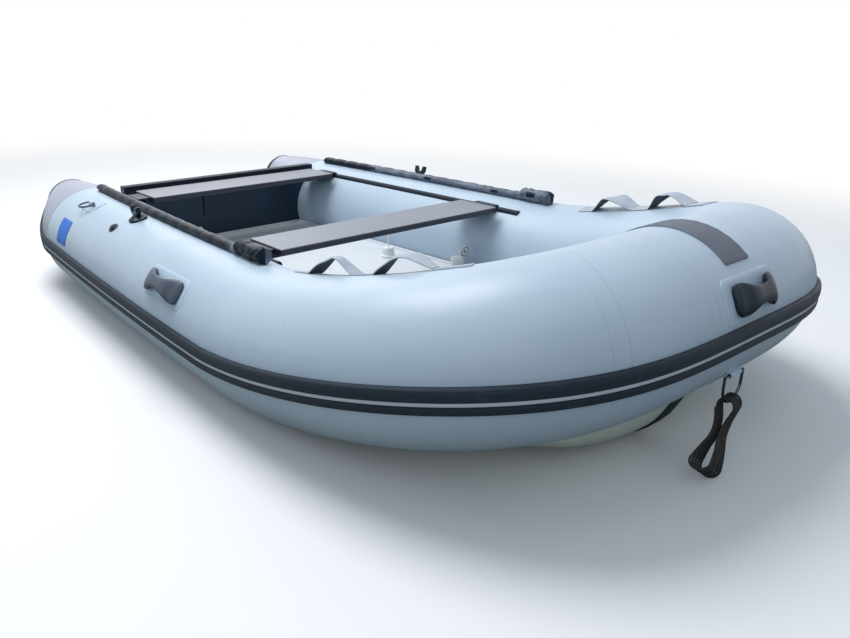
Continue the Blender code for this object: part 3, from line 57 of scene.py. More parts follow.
camera_data = bpy.data.cameras.new("camera")
camera_data.sensor_width = SENSOR
camera_data.lens = FOCAL_PIXELS / IMAGE[0] * SENSOR
camera_data.shift_x = (IMAGE[0] / 2 - OPTICAL_CENTRE[0]) / IMAGE[0]
camera_data.shift_y = (OPTICAL_CENTRE[1] - IMAGE[1] / 2) / IMAGE[0]
camera_data.clip_end = 60.0
camera = bpy.data.objects.new("camera", camera_data)
bpy.context.scene.collection.objects.link(camera)
ahead = np.array([-math.sin(EYE_TURN) * math.cos(EYE_FALL),
                  math.cos(EYE_TURN) * math.cos(EYE_FALL), -math.sin(EYE_FALL)])
right = np.cross(ahead, (0.0, 0.0, 1.0))
right /= np.linalg.norm(right)
above = np.cross(right, ahead)
right, above = (right * math.cos(EYE_ROLL) + above * math.sin(EYE_ROLL),
                above * math.cos(EYE_ROLL) - right * math.sin(EYE_ROLL))
turned = np.eye(4)
turned[:3, :3] = np.stack([right, above, -ahead], axis=1)
turned[:3, 3] = EYE
camera.matrix_world = Matrix(turned.tolist())
bpy.context.scene.camera = camera

# Painter: the mooring line, a black laid cord made up into a hank. Its
# loops lie side by side over the bow ring, are wrapped round above the
# waist and hang open below.


class Wire:
    """One value on its way through a shader. Arithmetic on it adds Math
    nodes to the material."""

    def __init__(self, finish, socket):
        self.finish = finish
        self.socket = socket

    def maths(self, operation, *values, first=None):
        """One Math node on this value, or on another one and this."""
        inputs = (self, *values) if first is None else (first, self)
        return self.finish.node("ShaderNodeMath", "Value", {"operation": operation}, dict(enumerate(inputs)))

    def __add__(self, other):
        return self.maths("ADD", other)

    __radd__ = __add__

    def __mul__(self, other):
        return self.maths("MULTIPLY", other)

    __rmul__ = __mul__

    def __sub__(self, other):
        return self.maths("SUBTRACT", other)

    def __rsub__(self, other):
        return self.maths("SUBTRACT", first=other)

    def __truediv__(self, other):
        return self.maths("DIVIDE", other)

    def __pow__(self, other):
        return self.maths("POWER", other)

    def __abs__(self):
        return self.maths("ABSOLUTE")

    def near(self, place, reach):
        """1 at the place and falling evenly to 0 at that reach from it."""
        return (1.0 - abs(self - place) / reach).maths("MAXIMUM", 0.0)

    def step(self, low, high):
        """0 up to low, 1 from high, and a smooth rise between them."""
        inputs = {"Value": self, "From Min": low, "From Max": high}
        settings = {"interpolation_type": "SMOOTHSTEP"}
        return self.finish.node("ShaderNodeMapRange", "Result", settings, inputs)


class Finish:
    """A material, or the world's light, put together node by node."""

    def __init__(self, name, world=None):
        self.owner = world or bpy.data.materials.new(name)
        self.owner.use_nodes = True
        self.tree = self.owner.node_tree
        self.tree.nodes.clear()
        if world is None:
            self.place = self.node("ShaderNodeTexCoord", "Object")
            self.spread = self.node("ShaderNodeUVMap", "UV", {"uv_map": "spread"})

    def node(self, kind, output=0, settings=None, inputs=None):
        """Add one node: its settings first, then its sockets' values."""
        node = self.tree.nodes.new(kind)
        for setting, value in (settings or {}).items():
            setattr(node, setting, value)
        for key, value in (inputs or {}).items():
            if isinstance(value, Wire):
                self.tree.links.new(value.socket, node.inputs[key])
            else:
                node.inputs[key].default_value = value
        return Wire(self, node.outputs[output]) if node.outputs else None

    def noise(self, scale, detail=2.0, stretch=(1.0, 1.0, 1.0)):
        """Cloudy noise about 0.5, of so many swells to the metre."""
        spot = self.node("ShaderNodeMapping", "Vector", {}, {"Vector": self.place, "Scale": stretch})
        inputs = {"Vector": spot, "Scale": scale, "Detail": detail, "Roughness": 0.55}
        return self.node("ShaderNodeTexNoise", 0, {}, inputs)

    def parts(self, where):
        """The three components of a place, each as a value."""
        split = self.node("ShaderNodeSeparateXYZ", 0, {}, {"Vector": where})
        outputs = split.socket.node.outputs
        return [Wire(self, outputs[k]) for k in range(3)]

    def mixed(self, share, first, second):
        """The first colour where share is 0, the second where it is 1."""
        colours = {0: share}
        for key, colour in ((6, first), (7, second)):
            colours[key] = colour if isinstance(colour, Wire) else (*colour, 1.0)
        return self.node("ShaderNodeMix", 2, {"data_type": "RGBA"}, colours)

    def raised(self, height, depth):
        """A surface normal: heights from 0 to 1 stand for that depth."""
        inputs = {"Height": height, "Distance": depth, "Strength": 1.0}
        return self.node("ShaderNodeBump", "Normal", {}, inputs)

    def surface(self, **sockets):
        """The shader of a surface. Names have _ for a space."""
        inputs = {name.replace("_", " "): value for name, value in sockets.items()}
        return self.node("ShaderNodeBsdfPrincipled", 0, {}, inputs)

    def closed(self, surface, output="ShaderNodeOutputMaterial"):
        """Join the last shader to the output, which ends the material."""
        self.node(output, 0, {}, {"Surface": surface})
        return self.owner

    def shader(self, **sockets):
        """The material, ended with this one shader."""
        return self.closed(self.surface(**sockets))


ROPE_RADIUS = 0.0032
HANK_LOOPS = 5
HANK_FOLD_STEPS = 8
HANK_RUN_STEPS = 4
HANK_PITCH = 0.0076
HANK_HALF_WIDTH = 0.026
HANK_WAIST_SHARE = 0.30
HANK_WAIST_HEIGHT_SHARE = 0.15
HANK_WAIST_SPREAD_SHARE = 0.60
HANK_LEAN_ACROSS = 0.086
HANK_LEAN_AFT = 0.004
HANK_LEAN_POWER = 1.5
HANK_FLOOR = 0.004
HANK_FAN = 0.0090
HANK_FAN_POWER = 2.0
HANK_STEP = 0.0120
RING_EYE = (0.0, 1.42363, 0.19350)
RING_RISE = 0.04176
RING_HALF_WIDTH = 0.042
RING_LIFT = 0.0074
RING_SHARE = 0.6
ROPE_COLOUR = (0.012, 0.013, 0.016)
ROPE_WORN = (0.050, 0.052, 0.058)


def hank_line():
    """Points of the cord. Each turn of the hank is a long rounded loop: a
    half circle over the top, a straight run, a half circle below and the
    other run, along which the cord climbs to the next turn. The loops are
    narrowed by a bell curve at the waist. By powers of the way down they
    lean, fan out and grow shorter one after the other, and over the ring
    they rise to both sides as it does."""
    half = (RING_EYE[2] + RING_LIFT - HANK_FLOOR) / 2
    straight = half - HANK_HALF_WIDTH
    fold = np.linspace(0.0, math.pi, HANK_FOLD_STEPS, endpoint=False)
    run = np.linspace(0.0, 1.0, HANK_RUN_STEPS, endpoint=False)
    side = np.ones(HANK_RUN_STEPS)
    along = np.concatenate([-np.cos(fold), side, np.cos(fold), -side]) * HANK_HALF_WIDTH
    height = np.concatenate([straight + HANK_HALF_WIDTH * np.sin(fold), straight * (1 - 2 * run),
                             -straight - HANK_HALF_WIDTH * np.sin(fold), -straight * (1 - 2 * run)])
    climb = np.concatenate([np.zeros(2 * HANK_FOLD_STEPS + HANK_RUN_STEPS), run])
    along = np.append(np.tile(along, HANK_LOOPS), along[0])
    height = np.append(np.tile(height, HANK_LOOPS), height[0])
    climb = np.append((climb[None, :] + np.arange(HANK_LOOPS)[:, None]).ravel(), HANK_LOOPS)
    share = np.clip(height / half, -1.0, 1.0)
    bell = np.exp(-((share - HANK_WAIST_HEIGHT_SHARE) / HANK_WAIST_SPREAD_SHARE) ** 2)
    waist = 1 - (1 - HANK_WAIST_SHARE) * bell
    drop = (1 - share) / 2
    leaning, opening = drop ** HANK_LEAN_POWER, drop ** HANK_FAN_POWER
    across = (climb - HANK_LOOPS / 2) * (HANK_PITCH + HANK_FAN * opening)
    aside = np.minimum(abs(across) / RING_HALF_WIDTH, RING_SHARE)
    flat = np.sqrt(1 - aside ** 2)
    slope = RING_RISE * aside / (flat * RING_HALF_WIDTH)
    lift = (RING_RISE * (1 - flat) + RING_LIFT * (np.sqrt(1 + slope ** 2) - 1)) * np.maximum(share, 0) ** 2
    x = across + HANK_LEAN_ACROSS * leaning
    y = RING_EYE[1] + along * waist - HANK_LEAN_AFT * leaning
    z = HANK_FLOOR + half + height + lift + HANK_STEP * climb * opening
    return np.stack([x, y, z], axis=1)


def smoothed(points, steps):
    """A finer line through the points: between each two it follows the
    cubic whose slope at a point is half the way between its neighbours."""
    padded = np.concatenate([[2 * points[0] - points[1]], points, [2 * points[-1] - points[-2]]])
    before, near, far, after = (padded[k:len(padded) - 3 + k, None, :] for k in range(4))
    t = np.linspace(0.0, 1.0, steps, endpoint=False)[None, :, None]
    line = near + (far - before) / 2 * t + (before - near * 2.5 + far * 2 - after / 2) * t ** 2
    line = line + ((near - far) * 1.5 + (after - before) / 2) * t ** 3
    return np.concatenate([line.reshape(-1, points.shape[1]), points[-1:]])


def lengths_along(line):
    """How far along the line each of its points is."""
    return np.concatenate([[0.0], np.cumsum(np.linalg.norm(np.diff(line, axis=0), axis=1))])


def frames_along(line, up):
    """Directions aside and above at each point of a line: above is the
    direction up less its share along the line's slope, and aside is square
    to both."""
    ahead = np.gradient(line, axis=0)
    ahead /= np.linalg.norm(ahead, axis=1)[:, None]
    above = up - ahead * (ahead @ up)[:, None]
    above /= np.linalg.norm(above, axis=1)[:, None]
    return np.cross(ahead, above), above


def cornered(table):
    """The values at the four corners of each square of a table."""
    return np.stack([table[:-1, :-1], table[:-1, 1:], table[1:, 1:], table[1:, :-1]], axis=2)


def skin(name, grid, spread, smooth_angle=50.0):
    """A closed piece over a grid of points. Each row is one section round
    the piece, joined to the next row, and the first and last rows are
    closed. Faces are turned outwards by the sign of the volume that they
    enclose. Its UV map holds the spread: two values at each point."""
    rows, columns = grid.shape[:2]
    index = np.arange(rows * columns).reshape(rows, columns)
    index = np.append(index, index[:, :1], axis=1)
    quads = cornered(index).reshape(-1, 4)
    points = grid.reshape(-1, 3)
    faces = quads.tolist()
    corner = points[quads]
    volume = np.einsum("ij,ij->", corner[:, 0], np.cross(corner[:, 1], corner[:, 2]))
    volume += np.einsum("ij,ij->", corner[:, 0], np.cross(corner[:, 2], corner[:, 3]))
    for row, order in ((index[0, :-1], -1), (index[-1, :-1], 1)):
        ring = row[::order]
        volume += np.einsum("ij,ij->", np.cross(points[ring[1:-1]], points[ring[2:]]),
                            np.repeat(points[ring[:1]], len(ring) - 2, axis=0))
        faces.append(ring.tolist())
    uv = cornered(np.stack([np.broadcast_to(values, index.shape) for values in spread], axis=-1))
    uv = uv.reshape(-1, 4, 2)
    if volume < 0:
        faces = [face[::-1] for face in faces]
        uv = uv[:, ::-1]
    mesh = bpy.data.meshes.new(name)
    mesh.from_pydata(points.tolist(), [], faces)
    layer = mesh.uv_layers.new(name="spread")
    full = np.zeros((len(mesh.loops), 2))
    full[:uv.shape[0] * 4] = uv.reshape(-1, 2)
    layer.data.foreach_set("uv", full.ravel())
    mesh.shade_smooth()
    mesh.set_sharp_from_angle(angle=math.radians(smooth_angle))
    piece = bpy.data.objects.new(name, mesh)
    bpy.context.scene.collection.objects.link(piece)
    return piece


def put(piece, body, slot, material, *nodes):
    """Give the piece its material and its body, in place of those nodes."""
    piece.data.materials.append(material)
    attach(piece, body)
    if nodes:
        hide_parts(*nodes)


PAINTER_SIDES = 15
PAINTER_GIRTH = 0.02
PAINTER_STRANDS = 3
PAINTER_STRAND_DEPTH = 0.14
PAINTER_LAY = 0.021

painter_line = smoothed(hank_line(), steps=8)
painter_along = lengths_along(painter_line)
painter_aside, painter_above = frames_along(painter_line, np.array((1.0, 0.0, 0.0)))
turn = np.linspace(0.0, 2 * math.pi, PAINTER_SIDES, endpoint=False)[None, :]
strand = abs(np.cos((turn - painter_along[:, None] * 2 * math.pi / PAINTER_LAY) * PAINTER_STRANDS / 2))
painter_reach = (ROPE_RADIUS * (1 - PAINTER_STRAND_DEPTH + PAINTER_STRAND_DEPTH * strand))[:, :, None]
painter_way = (painter_aside[:, None, :] * np.cos(turn)[:, :, None]
               + painter_above[:, None, :] * np.sin(turn)[:, :, None])
painter_round = np.linspace(0.0, PAINTER_GIRTH, PAINTER_SIDES + 1)[None, :]
painter = skin("painter", painter_line[:, None, :] + painter_reach * painter_way,
               (painter_along[:, None], painter_round))

rope = Finish("rope")
yarn = rope.noise(900.0, 2.0)
worn = rope.noise(40.0, 3.0).step(0.5, 0.75)
rope_paint = rope.shader(Base_Color=rope.mixed(worn * 0.6, ROPE_COLOUR, ROPE_WORN), Roughness=0.75,
                         Normal=rope.raised(yarn, 0.0006))
put(painter, "tow_ring", "rope", rope_paint, "painter_hank")

# Air chambers: light blue-grey coated fabric, cut as panels that are
# welded with an overlap of their edges, and blown up hard. One lies along
# each side and one goes round the bow, welded to them in a butt strap.

TUBE_RADIUS = 0.2046
TUBE_HEIGHT = 0.205
SHIFT_AFT = 0.029218
HALF_SPACING_FORWARD = 0.650
HALF_SPACING_AFT = 0.595
SPACING_POWER = 1.7
STERN_Y = -1.040 - SHIFT_AFT
BOW_START_Y = 0.430 - SHIFT_AFT
BOW_REACH = 0.844
BOW_CORNER_ACROSS = 4.2
BOW_CORNER_ALONG = 2.6
BOW_RISE = 0.180
RISE_START_Y = 0.400 - SHIFT_AFT
RISE_POWER = 1.5
CONE_LENGTH = 0.330
CONE_RISE = 0.082
CONE_TAPER_SHARE = 0.46
CAP_LENGTH = 0.075
CAP_CLOSING = 0.97
LINE_STEPS = 4001


def middle_line():
    """The starboard half of the tube's middle line. Its spacing narrows
    aft by a power of the distance from the bow's start. The bow is half a
    rounded rectangle, and rises by a power of the distance forward."""
    side_y = np.linspace(STERN_Y, BOW_START_Y, LINE_STEPS, endpoint=False)
    share = (BOW_START_Y - side_y) / (BOW_START_Y - STERN_Y)
    side_x = HALF_SPACING_FORWARD - (HALF_SPACING_FORWARD - HALF_SPACING_AFT) * share ** SPACING_POWER
    turn = math.pi / 4 * (1 - np.cos(math.pi * np.linspace(0.0, 1.0, LINE_STEPS)))
    x = np.append(side_x, HALF_SPACING_FORWARD * np.clip(np.cos(turn), 0, 1) ** (2 / BOW_CORNER_ACROSS))
    y = np.append(side_y, BOW_START_Y + BOW_REACH * np.clip(np.sin(turn), 0, 1) ** (2 / BOW_CORNER_ALONG))
    rise = np.maximum((y - RISE_START_Y) / (BOW_START_Y + BOW_REACH - RISE_START_Y), 0.0)
    x[-1] = 0.0
    points = np.stack([x, y, TUBE_HEIGHT + BOW_RISE * rise ** RISE_POWER], axis=1)
    lengths = lengths_along(points)
    even = np.linspace(0.0, lengths[-1], LINE_STEPS)
    return even, np.stack([np.interp(even, lengths, points[:, k]) for k in range(3)], axis=1)


LINE_LENGTHS, LINE_POINTS = middle_line()
HALF_LENGTH = float(LINE_LENGTHS[-1])
FULL_LENGTH = 2 * HALF_LENGTH
LINE_TANGENTS = np.gradient(LINE_POINTS, LINE_LENGTHS, axis=0)
LINE_TANGENTS[-1] = (-1.0, 0.0, 0.0)
LINE_TANGENTS /= np.linalg.norm(LINE_TANGENTS, axis=1)[:, None]


def sections(place):
    """Middle, outward and upward direction and radius of the tube at a
    length along it from the starboard stern. Aft of its ends the cone
    tapers and rises by the square of the way along it, and the cap closes
    it as an ellipse does."""
    place = np.asarray(place, float)
    along = np.where(place > HALF_LENGTH, FULL_LENGTH - place, place)
    inside = np.clip(along, 0.0, HALF_LENGTH)
    middle, tangent = (np.stack([np.interp(inside, LINE_LENGTHS, table[:, k]) for k in range(3)], axis=-1)
                       for table in (LINE_POINTS, LINE_TANGENTS))
    tangent /= np.linalg.norm(tangent, axis=-1)[..., None]
    outward = np.stack([tangent[..., 1], -tangent[..., 0], np.zeros_like(inside)], axis=-1)
    outward /= np.linalg.norm(outward, axis=-1)[..., None]
    upward = np.cross(outward, tangent)
    past = np.clip(-along, 0.0, CONE_LENGTH + CAP_LENGTH)
    cone = np.clip(past / CONE_LENGTH, 0.0, 1.0)
    middle = middle - tangent * past[..., None] + upward * (CONE_RISE * cone ** 2)[..., None]
    radius = TUBE_RADIUS * (1 - CONE_TAPER_SHARE * cone ** 2)
    cap = np.clip((past - CONE_LENGTH) / CAP_LENGTH, 0.0, 1.0)
    radius = radius * np.sqrt(1 - (CAP_CLOSING * cap) ** 2)
    flip = np.where(place > HALF_LENGTH, -1.0, 1.0)[..., None] * (1.0, 0.0, 0.0) + (0.0, 1.0, 1.0)
    return middle * flip, outward * flip, upward * flip, radius


def on_tube(place, angle, lift=0.0):
    """Points on the tube: a length along it, an angle round it in degrees
    (0 outboard, 90 on top, 180 inboard) and a height off its fabric."""
    place, angle, lift = np.broadcast_arrays(place, angle, lift)
    middle, outward, upward, radius = sections(place)
    turn = np.radians(angle)[..., None]
    return middle + (radius + lift)[..., None] * (outward * np.cos(turn) + upward * np.sin(turn))


def place_abreast(y):
    """The length along the starboard side where the tube passes y."""
    return float(np.interp(y, LINE_POINTS[:, 1], LINE_LENGTHS))


CHAMBER_SPLIT = place_abreast(BOW_START_Y)
GORES = [CHAMBER_SPLIT + 0.33, CHAMBER_SPLIT + 0.93, HALF_LENGTH - 0.155]
WELDS = [0.20, 0.86, CHAMBER_SPLIT] + GORES
WELDS = np.array(WELDS + [FULL_LENGTH - weld for weld in WELDS[::-1]])
WELD_HALF_WIDTH = 0.014
PUCKER_REACH = 0.09
PUCKER_DEPTH = 0.0011
PUCKER_WAVES = (23, 7)
PUCKER_OFFSET = 1.3
TUBE_COLUMNS = 128
CLOTH_GRAIN = 2600.0
TUBE_COLOUR = (0.435, 0.545, 0.650)
TUBE_SHADE = (0.400, 0.505, 0.612)
TUBE_EDGE = (0.290, 0.370, 0.470)


def tube_skin(name, start, end, steps):
    """A stretch of tube as a round section carried along its line. Beside
    each weld the fabric is drawn in by small puckers: a wave round the
    tube that fades with the distance from the weld."""
    places = np.linspace(start, end, steps)
    angle = np.linspace(0.0, 360.0, TUBE_COLUMNS, endpoint=False)[None, :]
    nearest = abs(places[:, None] - WELDS[None, :]).min(axis=1)
    fade = np.exp(-(nearest / PUCKER_REACH) ** 2) * (nearest / PUCKER_REACH)
    wave = np.sin(np.radians(angle * PUCKER_WAVES[0]))
    wave = wave * np.sin(np.radians(angle * PUCKER_WAVES[1]) + PUCKER_OFFSET)
    pucker = -PUCKER_DEPTH * fade[:, None] * (0.5 + 0.5 * wave)
    round_way = np.linspace(0.0, 2 * math.pi * TUBE_RADIUS, TUBE_COLUMNS + 1)[None, :]
    return skin(name, on_tube(places[:, None], angle, pucker), (places[:, None], round_way))


def coated_fabric(name, colour, shade, edge, welds, roughness=0.40):
    """Coated fabric: cloudy tone, a fine cloth grain under the coat and
    overlapped welds across it, each a raised band with darker edges."""
    fabric = Finish(name)
    u, v, _ = fabric.parts(fabric.spread)
    band = 0.0
    for weld in welds:
        band = u.near(float(weld), WELD_HALF_WIDTH).step(0.0, 0.16) + band
    edges = (band * (1.0 - band) * 4.0).maths("MINIMUM", 1.0) if len(welds) else None
    cloud = fabric.noise(2.2, 3.0)
    grain = (u * CLOTH_GRAIN).maths("SINE") * (v * CLOTH_GRAIN).maths("SINE")
    handled = fabric.noise(14.0, 4.0).step(0.45, 0.75)
    tone = fabric.mixed(cloud.step(0.30, 0.70), colour, shade)
    height = grain * 0.02 + fabric.noise(30.0, 3.0) * 0.22
    if edges is not None:
        tone = fabric.mixed(edges * 0.55, tone, edge)
        height = height + band * 0.5
    return fabric.shader(Base_Color=tone, Roughness=handled * 0.10 + roughness, Coat_Weight=0.10,
                         Coat_Roughness=0.30, Normal=fabric.raised(height, 0.0011))


PORT_SPLIT = FULL_LENGTH - CHAMBER_SPLIT
tube_paint = coated_fabric("tube_fabric", TUBE_COLOUR, TUBE_SHADE, TUBE_EDGE, WELDS)
for name, start, end, steps, nodes in (
        ("tube_starboard", 0.0, CHAMBER_SPLIT, 150, ["chamber_starboard"]),
        ("tube_port", PORT_SPLIT, FULL_LENGTH, 150, ["chamber_port"]),
        ("tube_bow", CHAMBER_SPLIT, PORT_SPLIT, 320, ["chamber_bow", "baffle_starboard", "baffle_port"])):
    put(tube_skin(name, start, end, steps), "hull", "tube_fabric", tube_paint, *nodes)

# Stern cones: the tube's after ends, wrapped in a slightly redder fabric
# and closed by a black rubber cap glued over the narrow end.

SIDES = ("starboard", "port")
CONE_STEPS = 48
CONE_GIRTH = 1.2
CONE_COLUMNS = 96
CONE_LAP = 0.0006
CONE_LAP_LENGTH = 0.30
CAP_STEPS = 24
CAP_RIM = ([0, 1, 5, 23], [0.0, 0.0022, 0.0016, 0.0])
CONE_COLOUR = (0.335, 0.360, 0.455)
CONE_SHADE = (0.300, 0.322, 0.410)
CONE_EDGE = (0.22, 0.24, 0.31)
# Painted reflection: the highlights of the dark finishes are tinted this blue, as the sky's reflection would
# tint them.
SKY_SHEEN = (0.55, 0.76, 1.00, 1.00)
RUBBER_COLOUR = (0.0045, 0.0062, 0.0110)
RUBBER_WORN = (0.016, 0.021, 0.032)


def rubber(name, colour, worn, roughness=0.54, ribs=0.0):
    """Moulded or extruded rubber: dull, faintly mottled, scuffed pale where
    it is rubbed, with fine ribs along it if it was drawn through a die. Its
    sheen is the blue of the sky."""
    black = Finish(name)
    u, v, _ = black.parts(black.spread)
    scuff = black.noise(26.0, 5.0, (1.0, 0.25, 1.0)).step(0.52, 0.78)
    skinned = black.noise(420.0, 3.0)
    height = skinned * 0.35
    if ribs:
        height = height + (v * ribs).maths("SINE") * 0.5
    return black.shader(Base_Color=black.mixed(scuff * 0.45, colour, worn),
                        Roughness=scuff * 0.15 + roughness, Specular_IOR_Level=0.35,
                        Specular_Tint=SKY_SHEEN, Normal=black.raised(height, 0.00035))


def on_side(side, places):
    """Places along the starboard side, or the like ones to port."""
    return FULL_LENGTH - places if side == "port" else places


cone_paint = coated_fabric("cone_fabric", CONE_COLOUR, CONE_SHADE, CONE_EDGE, [])
rubber_paint = rubber("black_rubber", RUBBER_COLOUR, RUBBER_WORN)
cone_turn = np.linspace(0.0, 360.0, CONE_COLUMNS, endpoint=False)[None, :]
cone_round = np.linspace(0.0, CONE_GIRTH, CONE_COLUMNS + 1)[None, :]
cap_rim = np.interp(np.arange(CAP_STEPS), *CAP_RIM)[:, None]
for side in SIDES:
    places = on_side(side, np.linspace(-CONE_LENGTH, 0.0, CONE_STEPS))[:, None]
    lap = CONE_LAP * (abs(places - places[-1]) < CONE_LAP_LENGTH)
    cone = skin("cone_skin_" + side, on_tube(places, cone_turn, lap), (places, cone_round))
    put(cone, "hull", "cone_fabric", cone_paint, "cone_" + side)
    quarter = np.linspace(0.0, math.pi / 2, CAP_STEPS)
    places = on_side(side, -CONE_LENGTH - CAP_LENGTH * np.sin(quarter))[:, None]
    cap = skin("cone_cap_skin_" + side, on_tube(places, cone_turn, cap_rim), (places, cone_round))
    put(cap, "hull", "black_rubber", rubber_paint, "cone_cap_" + side)

# Rubbing strake: a dark rubber extrusion glued round the outside of the
# tube from cone to cone, with a light stripe pressed into its groove.

STRAKE_SECTION = [
    (-12.4, -0.0006), (-12.4, 0.0036), (-11.2, 0.0108), (-9.4, 0.0124), (-7.0, 0.0125), (-6.1, 0.0112),
    (-6.0, 0.0062), (-3.2, 0.0062), (-3.1, 0.0112), (-2.2, 0.0125), (2.4, 0.0126), (4.6, 0.0112),
    (5.6, 0.0040), (5.6, -0.0006), (2.6, -0.0008), (-2.0, -0.0008), (-6.0, -0.0008), (-9.6, -0.0008)]
STRIPE_SECTION = [
    (-5.85, 0.0065), (-5.85, 0.0088), (-5.2, 0.0101), (-4.0, 0.0101), (-3.35, 0.0088), (-3.35, 0.0065)]
STRAKE_STEPS = 620
STRAKE_GIRTH = 0.09
STRAKE_RIBS = 5200.0
STRAKE_COLOUR = (0.0145, 0.0200, 0.0310)
STRAKE_WORN = (0.046, 0.058, 0.078)
STRIPE_COLOUR = (0.490, 0.530, 0.600)
STRIPE_WORN = (0.590, 0.630, 0.700)


def softened(section, rounds=2):
    """The closed section with its corners cut: each edge keeps the points
    at a sixth and five sixths of it, time after time."""
    points = np.array(section, float)
    for _ in range(rounds):
        edge = np.roll(points, -1, axis=0) - points
        points = np.stack([points + edge / 6, points + edge * 5 / 6], axis=1).reshape(-1, 2)
    return points


def from_cone_to_cone(name, section):
    """A section of (angle, height) points carried along the whole tube."""
    places = np.linspace(-CONE_LENGTH, FULL_LENGTH + CONE_LENGTH, STRAKE_STEPS)[:, None]
    profile = softened(section)
    round_way = np.linspace(0.0, STRAKE_GIRTH, len(profile) + 1)[None, :]
    return skin(name, on_tube(places, profile[None, :, 0], profile[None, :, 1]), (places, round_way),
                smooth_angle=38.0)


strake_paint = rubber("strake_rubber", STRAKE_COLOUR, STRAKE_WORN, 0.48, STRAKE_RIBS)
stripe_paint = rubber("stripe_rubber", STRIPE_COLOUR, STRIPE_WORN, 0.50)
put(from_cone_to_cone("strake_skin", STRAKE_SECTION), "hull", "strake_rubber", strake_paint, "rub_strake")
put(from_cone_to_cone("stripe_skin", STRIPE_SECTION), "hull", "stripe_rubber", stripe_paint, "strake_stripe")

# Hull bottom: one piece of coated fabric from tube to tube, drawn over the
# air keel into a V at the bow, with a rubber strip under the keel.

BOTTOM_THICKNESS = 0.0025
BOTTOM_LIFT = 0.0026
BOTTOM_START = place_abreast(-0.9990)
BOTTOM_END_SHARE = 0.88
BOTTOM_END = CHAMBER_SPLIT + (HALF_LENGTH - CHAMBER_SPLIT) * BOTTOM_END_SHARE
BOTTOM_STEPS = 150
BOTTOM_COLUMNS = 61
BOTTOM_GIRTH = 2.2
BOTTOM_ANGLES = (-112.5, -78.75)
FOREFOOT_REACH = 0.022
FOREFOOT_Y = 0.950 - SHIFT_AFT
FOREFOOT_POWER = 6.0
BOTTOM_POWER = 3.0
KEEL_BASE = 0.0055
# Painted light, partly: the fabric is pale, but both tones are made lighter and greener to stand in for grass
# reflected and light bounced into the shade under the boat.
HULL_COLOUR_WITH_BOUNCE = (0.780, 0.850, 0.780)
HULL_DARKER_WITH_BOUNCE = (0.670, 0.735, 0.670)
HULL_EDGE = (0.25, 0.28, 0.28)
HULL_WELDS = (0.45, 1.30)

places = np.linspace(BOTTOM_START, BOTTOM_END, BOTTOM_STEPS)
share = np.maximum((places - CHAMBER_SPLIT) / (BOTTOM_END - CHAMBER_SPLIT), 0.0)
edge_angle = BOTTOM_ANGLES[0] + (BOTTOM_ANGLES[1] - BOTTOM_ANGLES[0]) * share ** 2
edge = on_tube(places, edge_angle, BOTTOM_LIFT)
forward = FOREFOOT_REACH * share ** 2
keel_share = (edge[:, 1] + forward - FOREFOOT_Y) / (edge[-1, 1] + FOREFOOT_REACH - FOREFOOT_Y)
keel = KEEL_BASE + (edge[-1, 2] - KEEL_BASE) * np.maximum(keel_share, 0.0) ** FOREFOOT_POWER
across = np.linspace(1.0, -1.0, BOTTOM_COLUMNS)[None, :]
height = keel[:, None] + (edge[:, 2] - keel)[:, None] * abs(across) ** BOTTOM_POWER
reach = edge[:, 1:2] + forward[:, None] * (1 - across ** 2)
under = np.stack([edge[:, :1] * across, reach, height], axis=-1)
bottom_grid = np.concatenate([under, under[:, ::-1] + (0.0, 0.0, BOTTOM_THICKNESS)], axis=1)
bottom_round = np.linspace(0.0, BOTTOM_GIRTH, 2 * BOTTOM_COLUMNS + 1)[None, :]
bottom = skin("bottom_skin", bottom_grid, (places[:, None], bottom_round))
hull_paint = coated_fabric("hull_fabric", HULL_COLOUR_WITH_BOUNCE, HULL_DARKER_WITH_BOUNCE, HULL_EDGE, HULL_WELDS, 0.46)
put(bottom, "hull", "hull_fabric", hull_paint, "hull_bottom", "keel_tube")


def refinish(material, *nodes):
    """Give CAD pieces whose shape is right their finish."""
    for node in nodes:
        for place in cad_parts[node].material_slots:
            place.material = material


refinish(rubber("keel_rubber", STRAKE_COLOUR, STRAKE_WORN, 0.55), "keel_strip")

# Air deck: a drop-stitch floor between the tubes. Its top and bottom skins
# are joined by a side tape, which laps over them and shows as a seam.

DECK_TOP = 0.145
DECK_BOTTOM = 0.075
DECK_ROUNDING = 0.012
DECK_SEAM = 0.034
DECK_TUCK_SHARE = 0.86
DECK_AFT = -0.998
DECK_CLEARANCE = 0.0007
DECK_STEPS = 220
DECK_MIDDLE = 0.06
DECK_GIRTH = 5.2
DECK_DIMPLES = 1256.0
DECK_COLOUR = (0.650, 0.690, 0.735)
DECK_SHADE = (0.560, 0.600, 0.650)
DECK_SEAM_COLOUR = (0.290, 0.275, 0.260)


def deck_edge(inset, height):
    """The deck's edge at each height: where the tube's circle is at that
    height, but no further than its tuck, and inset from there. The after
    edge runs along the transom."""
    inset, height = inset[:, None], height[:, None]
    places = np.linspace(place_abreast(DECK_AFT), HALF_LENGTH, DECK_STEPS)[None, :]
    middle, outward, _, radius = sections(places)
    side = np.sqrt(np.maximum((radius + DECK_CLEARANCE) ** 2 - (height - middle[..., 2]) ** 2, 0.0))
    reach = np.maximum(side, TUBE_RADIUS * DECK_TUCK_SHARE) + inset
    x = np.maximum(middle[..., 0] - outward[..., 0] * reach, 0.0)
    y = middle[..., 1] - outward[..., 1] * reach
    y = np.concatenate([np.broadcast_to(DECK_AFT + inset, y[:, :1].shape), y[:, 1:]], axis=1)
    starboard = np.stack(np.broadcast_arrays(x, y, height), axis=-1)
    return np.concatenate([starboard, starboard[:, -2::-1] * (-1.0, 1.0, 1.0)], axis=1)


